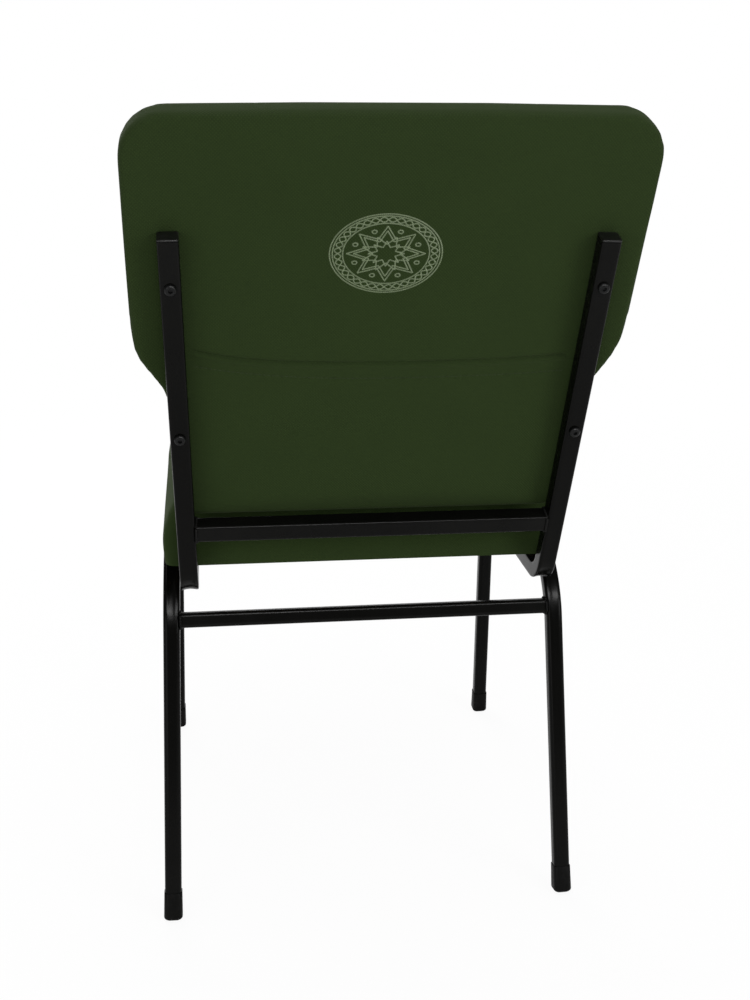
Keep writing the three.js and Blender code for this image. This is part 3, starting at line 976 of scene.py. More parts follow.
    def build_cross_tube(self, stock: Tube, face: float, play: float, middle: Matrix, node: str,
                         finishes: Finishes) -> None:
        """Builds a straight tube across the chair, with a ring of weld beads at each end.

        Args:
            stock: The tube.
            face: How far the faces that it is welded to are from the middle plane.
            play: How far it stays from them.
            middle: From the origin to the tube's middle.
            node: The CAD node that it stands for.
            finishes: The materials.
        """
        tube = BentTube(stock, [Corner(0.0, play - face), Corner(0.0, face - play)])
        piece = tube.build(f"{node}_tube", middle @ Matrix.Rotation(math.pi / 2, 4, "Y"))
        hand_over(piece, finishes.powder_coat, "frame_paint", node)
        half, word = stock.width / 2, node.split("_")[-1]
        reach = half - stock.corner * self.weld_corner
        for side in Side:
            beads = []
            for turn in range(4):
                quarter = Matrix.Rotation(turn * math.pi / 2, 4, "X")
                beads.append(self.bead(*(quarter @ Vector((0.0, y, half)) for y in (-reach, reach))))
            ring = join(beads, f"{side.word}_{word}_weld")
            place(ring, middle @ Matrix.Translation((side.value * (face - self.weld / 3), 0.0, 0.0)))
            smooth(ring, 60)
            hand_over(ring, finishes.powder_coat, "frame_paint")

    def bead(self, start: Vector, end: Vector) -> Piece:
        """A weld bead: a row of overlapping frozen pools along a joint.

        Args:
            start: Where the bead starts.
            end: Where it ends.

        Returns:
            The bead.
        """
        run = end - start
        pool = new_piece("weld_pool", bpy.ops.mesh.primitive_uv_sphere_add, segments=12, ring_count=8,
                         radius=self.weld, scale=(1.0, 1.0, self.weld_flatness))
        place(pool, Matrix.Translation(start) @ run.to_track_quat("Z", "Y").to_matrix().to_4x4())
        count = max(2, round(run.length / (self.weld * self.weld_pitch)) + 1)
        finish_modifier(pool, "ARRAY", count=count, use_relative_offset=False, use_constant_offset=True,
                        constant_offset_displace=run / (count - 1))
        return pool

    def build_rail_welds(self, finishes: Finishes) -> None:
        """Short welds that join each back tube to the leg frame beside it, below and above.

        Args:
            finishes: The materials.
        """
        heights = (self.rail_height - self.leg.width / 2, self.heel_z + self.upright.width / 2)
        for side in Side:
            x = side.value * (self.upright_half_spacing + self.upright.width / 2 + self.gap)
            beads = []
            for y in self.rail_welds:
                for height in heights:
                    start = Vector((x, y + CAD_SHIFT - self.rail_weld_length / 2, height))
                    beads.append(self.bead(start, start + Vector((0.0, self.rail_weld_length, 0.0))))
            welds = join(beads, f"{side.word}_rail_welds")
            smooth(welds, 60)
            hand_over(welds, finishes.powder_coat, "frame_paint")


# Plastic feet and plugs


@dataclass
class PlasticFittings:
    """The slip-on glides on the feet and the push-in plugs in the back tubes' ends.

    Each rib of a plug's stem is a step down and how much narrower or wider it gets.
    """

    frame: WeldedFrame
    glide_wall: float = 0.8 * MM
    glide_lip: float = 0.4 * MM
    glide_height: float = 31 * MM
    glide_floor: float = 6 * MM
    glide_drop: float = 1.2 * MM
    glide_edge: float = 0.35 * MM
    dome: float = 5.5 * MM
    dome_degrees: tuple[int, ...] = (0, 15, 30, 45, 60, 75)
    head: float = 2.2 * MM
    head_edge: float = 0.95 * MM
    head_crown: float = 0.25 * MM
    ribs: int = 3
    rib: tuple[tuple[float, float], ...] = ((2.6 * MM, 0.97), (1.2 * MM, 1.02))

    def build(self, finishes: Finishes) -> None:
        """Builds and dresses the glides and the plugs.

        Args:
            finishes: The materials.
        """
        frame = self.frame
        plugs = {
            "upright_cap": (frame.upright_top.point, -frame.recline),
            "rail_plug": ((0.0, -frame.seat_rail, 0.0), math.pi / 2),
        }
        for side in Side:
            for end, foot, knee in (("front", frame.front_foot, frame.front_knee),
                                    ("rear", frame.rear_foot, frame.rear_knee)):
                glide = self.glide(side, foot, knee, f"{side.word}_{end}_foot_cup")
                hand_over(glide, finishes.foot_plastic, "black_plastic", f"{side.word}_{end}_glide")
            for word, (spot, turn) in plugs.items():
                plug = self.plug(f"{side.word}_{word}_moulding")
                seat = Matrix.Translation(spot) @ Matrix.Rotation(turn, 4, "X")
                place(plug, frame.upright_place(side) @ seat)
                hand_over(plug, finishes.plastic, "black_plastic", f"{side.word}_{word}")

    def glide(self, side: Side, foot: float, knee: float, name: str) -> Piece:
        """A moulded cup with a domed sole and an eased lip, worn flat where it stands.

        Args:
            side: The side of the chair.
            foot: Where the leg's middle line meets the floor.
            knee: Where the leg's line meets the rail's line.
            name: The new piece's name.

        Returns:
            The glide.
        """
        stock = self.frame.leg
        bore = stock.width / 2 + self.frame.gap
        half = bore + self.glide_wall
        low = self.dome - self.glide_drop
        cup = new_piece(name, bpy.ops.mesh.primitive_cube_add, size=1.0,
                        scale=(2 * half, 2 * half, self.glide_height - low),
                        location=(0.0, 0.0, (self.glide_height + low) / 2))
        open_mesh(cup)
        pick(cup, Part.EDGES, lambda middle, run: abs(run.z) > self.glide_height / 2)
        bpy.ops.mesh.bevel(offset=stock.corner + self.glide_wall, segments=6)
        pick(cup, Part.FACES, lambda middle, normal: normal.z > FACING)
        taper = (bore + self.glide_lip) / half
        bpy.ops.transform.resize(value=(taper, taper, 1.0))
        bpy.ops.mesh.inset(thickness=self.glide_lip)
        extrude((0.0, 0.0, self.glide_floor - self.glide_height))
        pick(cup, Part.FACES, lambda middle, normal: normal.z < -FACING)
        turns = [math.radians(degrees) for degrees in self.dome_degrees]
        for before, turn in zip(turns, turns[1:]):
            shrink = math.cos(turn) / math.cos(before)
            fall = self.dome * (math.sin(turn) - math.sin(before))
            extrude((0.0, 0.0, -fall), (shrink, shrink, 1.0))
        close_mesh()
        ease(cup, self.glide_edge)
        rake = Matrix.Rotation(math.atan2(foot - knee, self.frame.rail_height), 4, "X")
        place(cup, self.frame.leg_place(side) @ Matrix.Translation((0.0, foot, 0.0)) @ rake)
        cut_below(cup, 0.0)
        face_out(cup)
        smooth(cup, 35)
        return cup

    def plug(self, name: str) -> Piece:
        """A square plug with a domed head and a ribbed stem, its head upwards.

        Args:
            name: The new piece's name.

        Returns:
            The plug, with its head's underside at the origin.
        """
        stock, gap = self.frame.upright, self.frame.gap
        head = new_piece(name, bpy.ops.mesh.primitive_cube_add, size=1.0,
                         scale=(stock.width, stock.width, self.head - gap),
                         location=(0.0, 0.0, (self.head + gap) / 2))
        open_mesh(head)
        pick(head, Part.EDGES, lambda middle, run: abs(run.z) > self.head / 2)
        bpy.ops.mesh.bevel(offset=stock.corner, segments=4)
        pick(head, Part.FACES, lambda middle, normal: normal.z > FACING)
        bpy.ops.mesh.inset(thickness=self.head_edge * 1.5)
        bpy.ops.transform.translate(value=(0.0, 0.0, self.head_crown))
        pick(head, Part.FACES, lambda middle, normal: normal.z < -FACING)
        bpy.ops.mesh.inset(thickness=stock.wall + gap)
        for drop, size in self.rib * self.ribs:
            extrude((0.0, 0.0, -drop), (size, size, 1.0))
        close_mesh()
        ease(head, self.head_edge, segments=3)
        smooth(head, 35)
        return head


# Fasteners


@dataclass
class BackBolts:
    """Four button-head bolts that hold the back to the uprights."""

    frame: WeldedFrame
    shank: float = 6 * MM
    head: float = 11 * MM
    head_height: float = 3.4 * MM
    rim_share: float = 0.35
    narrowing: float = 0.55
    dome_degrees: tuple[int, ...] = (0, 13, 26, 39, 52, 65)
    point_size: float = 0.9
    edge: float = 0.25 * MM
    socket: float = 4 * MM
    socket_depth: float = 2 * MM
    heights: dict[str, float] = field(default_factory=lambda: {"lower": 191.5 * MM, "upper": 348.7 * MM})
    reach: float = 36.1 * MM

    def build(self, finishes: Finishes) -> None:
        """Turns one bolt and copies it to its four places.

        Args:
            finishes: The materials.
        """
        pattern = self.bolt("bolt_pattern")
        for side in Side:
            for level, height in self.heights.items():
                bolt = copy_as(pattern, f"{side.word}_{level}_back_bolt")
                spot = Matrix.Translation((side.value * self.frame.upright_x(height), 0.0, height))
                place(bolt, self.frame.back_plane @ spot)
                hand_over(bolt, finishes.black_bolt, "black_bolt", f"back_bolt_{level}_{side.word}")
        bpy.data.objects.remove(pattern)

    def bolt(self, name: str) -> Piece:
        """One bolt along Y, with its domed head, hexagon socket and shank.

        Args:
            name: The new piece's name.

        Returns:
            The bolt, with the upright's middle line at the origin.
        """
        rim = self.head_height * self.rim_share
        bolt = new_piece(name, bpy.ops.mesh.primitive_cylinder_add, vertices=40, radius=self.head / 2,
                         depth=rim, location=(0.0, 0.0, rim / 2))
        open_mesh(bolt)
        pick(bolt, Part.FACES, lambda middle, normal: normal.z > FACING)
        turns = [math.radians(degrees) for degrees in self.dome_degrees]
        widths = [1 - self.narrowing * (1 - math.cos(turn)) for turn in turns]
        heights = [(self.head_height - rim) * math.sin(turn) / math.sin(turns[-1]) for turn in turns]
        for i in range(1, len(turns)):
            shrink = widths[i] / widths[i - 1]
            extrude((0.0, 0.0, heights[i] - heights[i - 1]), (shrink, shrink, 1.0))
        pick(bolt, Part.FACES, lambda middle, normal: normal.z < -FACING)
        bpy.ops.mesh.inset(thickness=(self.head - self.shank) / 2)
        extrude((0.0, 0.0, -self.reach - self.frame.gap), (self.point_size, self.point_size, 1.0))
        close_mesh()
        ease(bolt, self.edge)
        cut_away(bolt, new_piece("socket_cutter", bpy.ops.mesh.primitive_cylinder_add, vertices=6,
                                 radius=self.socket / math.sqrt(3), depth=2 * self.socket_depth,
                                 location=(0.0, 0.0, self.head_height)))
        smooth(bolt, 40)
        seat = self.frame.upright.width / 2 + self.frame.gap
        place(bolt, Matrix.Translation((0.0, seat, 0.0)) @ Matrix.Rotation(-math.pi / 2, 4, "X"))
        return bolt


# Upholstery


@dataclass
class Padding:
    """How a padded piece is blown up, as foam fills a cover.

    The cap says how far each point may move from where it starts. A point never sinks below its start.
    """

    cap: Callable[[Vector], float]
    held: Test
    voxel: float = 5 * MM
    pressure: float = 4.0
    frames: int = 20

    def swell(self, pad: Piece) -> None:
        """Blows a closed pad up with a cloth simulation, applies the result and subdivides it once.

        Args:
            pad: The pad.
        """
        finish_modifier(pad, "REMESH", mode="VOXEL", voxel_size=self.voxel)
        self.simulate(pad)
        finish_modifier(pad, "SMOOTH", factor=0.5, iterations=1)
        finish_modifier(pad, "SUBSURF", levels=1, render_levels=1)

    def simulate(self, pad: Piece) -> None:
        """Runs the cloth under pressure and keeps each point within its cap.

        Args:
            pad: The pad, as an even net.
        """
        rest = [(point.co.copy(), point.normal.copy()) for point in pad.data.vertices]
        pins = pad.vertex_groups.new(name="held")
        pins.add([i for i, (spot, normal) in enumerate(rest) if self.held(spot, normal)], 1.0, "REPLACE")
        take_up(pad)
        cloth = pad.modifiers.new("Cloth", "CLOTH")
        cloth.settings.use_pressure = True
        cloth.settings.uniform_pressure_force = self.pressure
        cloth.settings.vertex_group_mass = "held"
        cloth.settings.effector_weights.gravity = 0.0
        scene = bpy.context.scene
        for frame in range(1, self.frames + 1):
            scene.frame_set(frame)
        bpy.ops.object.modifier_apply(modifier=cloth.name)
        scene.frame_set(1)
        longest = 0.0
        for point, (start, normal) in zip(pad.data.vertices, rest):
            move = point.co - start
            move -= normal * min(0.0, move.dot(normal))
            longest = max(longest, move.length)
            cap = self.cap(start)
            point.co = start + (move * (cap / move.length) if move.length > cap else move)
        pad.vertex_groups.clear()
        log.info("%s: the farthest point moved %.1f mm before its cap", pad.name, longest / MM)


@dataclass
class Stitch:
    """One laid stitch of thread: a short, plump bar with tucked ends, along X, its middle at the origin.

    Each end goes down into the cloth in steps: how far out, how far down and how much thinner.
    """

    length: float
    width: float
    sides: int = 6
    ends: tuple[tuple[float, float, float], ...] = ((0.14, 0.08, 0.8), (0.085, 0.2, 0.45))

    def build(self, name: str) -> Piece:
        """Models the stitch with a few dozen faces.

        Args:
            name: The new piece's name.

        Returns:
            The stitch.
        """
        body = self.length * (1 - 2 * sum(reach for reach, _, _ in self.ends))
        stitch = new_piece(name, bpy.ops.mesh.primitive_cylinder_add, vertices=self.sides,
                           radius=self.width / 2, depth=body, rotation=(0.0, math.pi / 2, 0.0))
        open_mesh(stitch)
        for way in (-1, 1):
            pick(stitch, Part.FACES, lambda middle, normal: normal.x * way > FACING)
            for reach, sink, size in self.ends:
                extrude((way * self.length * reach, 0.0, -self.width * sink), (1.0, size, size))
        close_mesh()
        smooth(stitch, 70)
        return stitch

    def sew(self, ground: Piece, runs: Sequence[tuple[Vector, Vector]], name: str, sunk: float = 0.1 * MM,
            above: float = 60 * MM) -> Piece:
        """Lays copies of the stitch on the rear of a cover and joins them.

        Args:
            ground: The cover, in the back's own plane, with its rear towards +Y.
            runs: For each stitch the place of its middle and its direction, both in the plane Y = 0.
            name: The joined piece's name.
            sunk: How deep the stitch's middle lies under the cover's surface.
            above: How far behind the back's plane the search for the surface starts.

        Returns:
            All the stitches as one piece.
        """
        pattern = self.build(f"{name}_pattern")
        copies = []
        surface = BVHTree.FromPolygons([point.co for point in ground.data.vertices],
                                       [face.vertices for face in ground.data.polygons])
        for spot, direction in runs:
            seat, normal, _, _ = surface.ray_cast(Vector((spot.x, above, spot.z)), Vector((0.0, -1.0, 0.0)))
            if seat is None:
                continue
            along = (direction - normal * direction.dot(normal)).normalized()
            turn = Matrix((along, normal.cross(along), normal)).transposed().to_4x4()
            twin = copy_as(pattern, f"{name}_copy")
            twin.data.transform(Matrix.Translation(seat - normal * sunk) @ turn)
            copies.append(twin)
        bpy.data.objects.remove(pattern)
        return join(copies, name)


@dataclass
class StitchedMedallion:
    """An embroidered medallion between the uprights: a plaited oval border round a nest of stars.

    Its lines are satin stitch, laid across the line as an embroidery machine does. Shapes are in shares of
    the medallion's half width and half height, and each star is its tips, its notches and its turn.
    """

    middle: float = 5 * MM
    height: float = 375.5 * MM
    half_width: float = 51 * MM
    half_height: float = 38 * MM
    stitch: Stitch = field(
        default_factory=lambda: Stitch(length=1.7 * MM, width=0.75 * MM, sides=5, ends=((0.2, 0.2, 0.55),)))
    pitch: float = 0.85 * MM
    slant: float = math.radians(62)
    ovals: tuple[float, ...] = (1.0, 0.95, 0.77)
    plait: float = 0.86
    plait_swing: float = 0.06
    plait_lobes: int = 18
    tips: int = 8
    stars: tuple[tuple[float, float, float], ...] = (
        (0.7, 0.4, 0.0), (0.58, 0.33, 0.0), (0.45, 0.24, 0.5), (0.32, 0.17, 0.0))
    beads: float = 0.6
    bead: float = 0.045

    def spot(self, turn: float, size: float) -> Vector:
        """The place on an oval of a size, at a turn from the sitter's left."""
        across, up = self.half_width * size * math.cos(turn), self.half_height * size * math.sin(turn)
        return Vector((across, 0.0, up))

    def ring(self, count: int, size: Callable[[float], float]) -> list[Vector]:
        """A closed line round the middle whose size depends on the turn."""
        turns = [2 * math.pi * i / count for i in range(count + 1)]
        return [self.spot(turn, size(turn)) for turn in turns]

    def star(self, outer: float, inner: float, start: float) -> list[Vector]:
        """The outline of a star, turned by a share of the step between its tips."""
        turns = [math.pi * (i + 2 * start) / self.tips for i in range(2 * self.tips + 1)]
        return [self.spot(turn, inner if i % 2 else outer) for i, turn in enumerate(turns)]

    def lines(self) -> list[list[Vector]]:
        """Every line of the design, about the medallion's middle.

        Returns:
            Each line's points.
        """
        lines = [self.ring(96, lambda turn: size) for size in self.ovals]
        for lag in (0.0, math.pi):
            lines.append(self.ring(
                240, lambda turn: self.plait + self.plait_swing * math.sin(self.plait_lobes * turn + lag)))
        lines += [self.star(*star) for star in self.stars]
        for i in range(self.tips):
            middle = self.spot(math.pi * (2 * i + 1) / self.tips, self.beads)
            lines.append([middle + point for point in self.ring(10, lambda turn: self.bead)])
        return lines

    def runs(self) -> list[tuple[Vector, Vector]]:
        """Walks along the design's lines from stitch to stitch.

        Returns:
            The place and the direction of each satin stitch.
        """
        runs = []
        for line in self.lines():
            walked = 0.0
            for start, end in zip(line, line[1:]):
                step = end - start
                while walked < step.length:
                    spot = start + step * (walked / step.length) + Vector((self.middle, 0.0, self.height))
                    runs.append((spot, Matrix.Rotation(self.slant, 3, "Y") @ step.normalized()))
                    walked += self.pitch
                walked -= step.length
        return runs


@dataclass(frozen=True)
class SeamLine:
    """A seam across the back's rear: level, with a slight sag, and drawn up near the sitter's left upright.

    Each fold beside it is how far over the seam it is, how high it stands and how wide it is.
    """

    middle: float
    bow: float
    lift: float
    power: float
    folds: tuple[tuple[float, float, float], ...]
    reach: float = 178 * MM

    def height(self, x: float) -> float:
        """The seam's height at a place across the back."""
        share = x / self.reach
        return self.middle + self.bow * share**2 + self.lift * max(0.0, share) ** self.power

    def relief(self, spot: Vector) -> float:
        """How far the seam's folds make the cover stand out at a spot."""
        over = spot.z - self.height(spot.x)
        return sum(rise * bell(over - offset, width) for offset, rise, width in self.folds)


@dataclass
class BackCushion:
    """The winged back: foam on a board, its cover closed by a seamed flap across the rear.

    Each corner of its outline is half a width, a height up the back and a radius, and Y = 0 is the plane
    of the uprights' middle lines.
    """

    frame: WeldedFrame
    outline: tuple[tuple[float, float, float], ...] = (
        (198 * MM, 85.6 * MM, 20 * MM),
        (203.5 * MM, 226.8 * MM, 45 * MM),
        (233.6 * MM, 277 * MM, 85 * MM),
        (237.6 * MM, 495 * MM, 43 * MM),
    )
    top_rise: float = 2.5 * MM
    rear: float = -9.8 * MM
    front: float = -53 * MM
    front_crown: float = 5 * MM
    crown_blend: float = 20 * MM
    rear_edge: float = 3 * MM
    front_edge: float = 17 * MM
    rear_cap: float = 4.5 * MM
    front_cap: float = 8 * MM
    held_strip: float = 18 * MM
    held_depth: float = 2 * MM
    flat_strip: float = 12 * MM
    board: tuple[float, float] = (-16.3 * MM, -26.9 * MM)
    board_border: float = 2.7 * MM
    bolt_hole: float = 3.6 * MM
    bolt_hole_depth: float = 12 * MM
    fullness: float = 0.8 * MM
    corner_pull: float = 4.6 * MM
    top_slack: tuple[float, float] = (2 * MM, 5.5 * MM)
    wing_slack: tuple[float, float, float] = (2.4 * MM, 267 * MM, 18 * MM)
    upper_seam: SeamLine = SeamLine(
        middle=263.8 * MM, bow=4.4 * MM, lift=8 * MM, power=4.2,
        folds=((0.0, -1.9 * MM, 1.4 * MM), (-3.8 * MM, 1.3 * MM, 2.2 * MM), (6 * MM, 0.3 * MM, 5 * MM)))
    lower_seam: SeamLine = SeamLine(
        middle=246.4 * MM, bow=3.8 * MM, lift=9.4 * MM, power=2.5, folds=((0.0, -0.7 * MM, 1.5 * MM),))
    seam_allowance: float = 7 * MM
    seam_ends: tuple[float, float] = (6 * MM, 8 * MM)
    pucker: tuple[float, float] = (0.15 * MM, 4 * MM)
    stitch_pitch: float = 4.2 * MM
    stitch_share: float = 0.8
    stitch_width: float = 0.9 * MM

    def build(self, bolts: BackBolts, finishes: Finishes) -> None:
        """Builds and dresses the back cushion, its seams and its medallion.

        Args:
            bolts: The bolts that go into it.
            finishes: The materials.
        """
        pad = self.pad("back_cushion_cover")
        self.swell(pad)
        self.crown_front(pad)
        self.press_seams(pad)
        stitch = Stitch(length=self.stitch_pitch * self.stitch_share, width=self.stitch_width)
        threads = stitch.sew(pad, self.seam_runs(), "rear_seam_stitches")
        medallion = StitchedMedallion()
        badge = medallion.stitch.sew(pad, medallion.runs(), "stitched_medallion")
        self.hollow(pad, bolts)
        for piece in (pad, threads, badge):
            place(piece, self.frame.back_plane)
        face_out(pad)
        smooth(pad, 60)
        hand_over(pad, finishes.cloth, "olive_fabric", "back_cushion")
        hand_over(threads, finishes.seam_thread, "olive_fabric")
        hand_over(badge, finishes.stitch_thread, "olive_fabric")

    def slab(self, name: str, border: float, depths: tuple[float, float], pull: float = 0.0) -> Piece:
        """The back's outline less a border, raised between two depths.

        Args:
            name: The new piece's name.
            border: How far inside the outline it stays.
            depths: Its rear and its front.
            pull: How much tighter its top corners are than the outline's.

        Returns:
            A closed slab with sharp rims, in the back's own plane.
        """
        last = len(self.outline) - 1
        corners = [(half - border, height + border * ((i == 0) - (i == last)), radius - pull * (i == last))
                   for i, (half, height, radius) in enumerate(self.outline)]
        rear, front = depths
        (low_half, low, _), (next_half, next_height, _) = corners[:2]
        pad = new_piece(name, bpy.ops.mesh.primitive_plane_add, size=1.0, rotation=(math.pi / 2, 0.0, 0.0))
        open_mesh(pad, Part.EDGES, whole=True)
        bpy.ops.transform.resize(value=(2 * low_half, 1.0, next_height - low))
        bpy.ops.transform.translate(value=(0.0, rear, (next_height + low) / 2))
        pick(pad, Part.EDGES, lambda middle, run: middle.z > next_height - MM)
        bpy.ops.transform.resize(value=(next_half / low_half, 1.0, 1.0))
        for (half, height, _), (wide, tall, _) in zip(corners[1:], corners[2:]):
            extrude((0.0, 0.0, tall - height), (wide / half, 1.0, 1.0))
        bpy.ops.mesh.select_all(action="SELECT")
        bpy.ops.mesh.dissolve_faces()
        wide, top, _ = corners[-1]
        pick(pad, Part.EDGES, lambda middle, run: middle.z > top - MM)
        bpy.ops.mesh.subdivide(number_cuts=2)
        pick(pad, Part.POINTS, lambda spot, normal: spot.z > top - MM and abs(spot.x) < wide / 2)
        bpy.ops.transform.translate(value=(0.0, 0.0, self.top_rise))
        points = [Vector((half, 0.0, height)) for half, height, _ in corners]
        ends = [Vector((0.0, 0.0, low)), *points, Vector((0.0, 0.0, top))]
        for before, corner, after, (_, _, radius) in zip(ends, points, ends[2:], corners):
            turn = (corner - before).angle(after - corner)
            pick(pad, Part.POINTS, lambda spot, normal: abs(abs(spot.x) - corner.x) < MM / 2
                 and abs(spot.z - corner.z) < MM / 2)
            bpy.ops.mesh.bevel(affect="VERTICES", offset=radius * math.tan(turn / 2), segments=8)
        bpy.ops.mesh.select_mode(type="FACE")
        bpy.ops.mesh.select_all(action="SELECT")
        extrude((0.0, front - rear, 0.0))
        close_mesh()
        face_out(pad)
        return pad

    def pad(self, name: str) -> Piece:
        """The foam's slab with its rims rounded, tight at the rear and full at the front.

        Args:
            name: The new piece's name.

        Returns:
            The closed pad.
        """
        pad = self.slab(name, -self.fullness, (self.rear, self.front), self.corner_pull)
        open_mesh(pad)
        for depth, radius, segments in ((self.rear, self.rear_edge, 4), (self.front, self.front_edge, 6)):
            pick(pad, Part.EDGES, lambda middle, run: abs(middle.y - depth) < MM / 2 and abs(run.y) < MM / 2)
            bpy.ops.mesh.bevel(offset=radius, segments=segments)
        close_mesh()
        return pad

    def swell(self, pad: Piece) -> None:
        """Blows the pad up, held where it lies against the uprights and at its rim.

        Args:
            pad: The pad.
        """
        strip = self.frame.upright_half_spacing - self.held_strip
        board_rear, board_front = self.board

        def held(spot: Vector, normal: Vector) -> bool:
            """Whether a point lies against an upright or round the board's edge."""
            on_upright = spot.y > self.rear - self.held_depth and abs(spot.x) > strip
            return on_upright or (spot.y > board_front and abs(normal.y) < 0.5)

        def cap(spot: Vector) -> float:
            """How far a point may move."""
            return self.rear_cap if spot.y > board_rear else self.front_cap

        Padding(cap, held).swell(pad)

    def crown_front(self, pad: Piece) -> None:
        """Crowns the front over the sitter's back, keeps the rear off the uprights, and lets the cover sag.

        Args:
            pad: The blown-up pad.
        """
        (_, low, _), _, (wing_half, _, _), (top_half, high, _) = self.outline
        middle, half = (high + low) / 2, (high - low) / 2
        strip = self.frame.upright_half_spacing - self.flat_strip
        aside, up = self.top_slack
        bulge, wing, reach = self.wing_slack
        for point in pad.data.vertices:
            spot = point.co
            if spot.y < self.board[1]:
                share = min(1.0, (self.board[1] - spot.y) / self.crown_blend)
                spot.y -= self.front_crown * share * hump(spot.x, top_half) * hump(spot.z - middle, half)
            elif abs(spot.x) > strip:
                spot.y = min(spot.y, self.rear)
            rise = min(1.0, max(0.0, (spot.z - middle) / half)) ** 2
            spot.x += bulge * bell(spot.z - wing, reach) * max(0.0, spot.x / wing_half) ** 3
            spot.x -= aside * rise
            spot.z += up * rise * (1 - spot.x / top_half) / 2

    def press_seams(self, pad: Piece) -> None:
        """Presses the flap's two seam lines into the rear of the cover, with a soft fold under the upper one.

        Args:
            pad: The blown-up pad.
        """
        reach = self.upper_seam.reach
        open_mesh(pad)
        for seam in (self.upper_seam, self.lower_seam):
            pick(pad, Part.FACES, lambda middle, normal: normal.y > 0.7 and middle.y > self.board[0]
                 and abs(middle.x) < reach and abs(middle.z - seam.height(middle.x)) < self.seam_allowance)
            bpy.ops.mesh.subdivide(number_cuts=2)
        close_mesh()
        past, blend = self.seam_ends
        depth, width = self.pucker
        for point in pad.data.vertices:
            spot = point.co
            if spot.y < self.board[0] or abs(spot.x) > reach + past:
                continue
            fade = min(1.0, (reach + past - abs(spot.x)) / blend)
            pucker = depth * bell(spot.z - self.lower_seam.height(spot.x), width)
            pucker *= math.sin(math.pi * spot.x / self.stitch_pitch)
            spot.y += (self.upper_seam.relief(spot) + self.lower_seam.relief(spot) + pucker) * fade

    def seam_runs(self) -> list[tuple[Vector, Vector]]:
        """The flap is sewn down along its lower seam, one stitch after another.

        Returns:
            The place and the direction of each stitch.
        """
        seam = self.lower_seam
        count = round(2 * seam.reach / self.stitch_pitch)
        runs = []
        for i in range(count):
            x = seam.reach * (2 * (i + 0.5) / count - 1)
            slope = (seam.height(x + MM) - seam.height(x)) / MM
            runs.append((Vector((x, 0.0, seam.height(x))), Vector((1.0, 0.0, slope))))
        return runs

    def hollow(self, pad: Piece, bolts: BackBolts) -> None:
        """Makes the pocket for the board and the holes for the bolts.

        Args:
            pad: The finished cover, still in the back's own plane.
            bolts: The bolts.
        """
        cut_away(pad, self.slab("board_pocket", self.board_border, self.board))
        for side in Side:
            for height in bolts.heights.values():
                across = side.value * self.frame.upright_x(height)
                cut_away(pad, new_piece("bolt_hole", bpy.ops.mesh.primitive_cylinder_add, vertices=24,
                                        radius=self.bolt_hole, depth=self.bolt_hole_depth,
                                        rotation=(math.pi / 2, 0.0, 0.0),
                                        location=(across, self.rear - self.bolt_hole_depth / 3, height)))


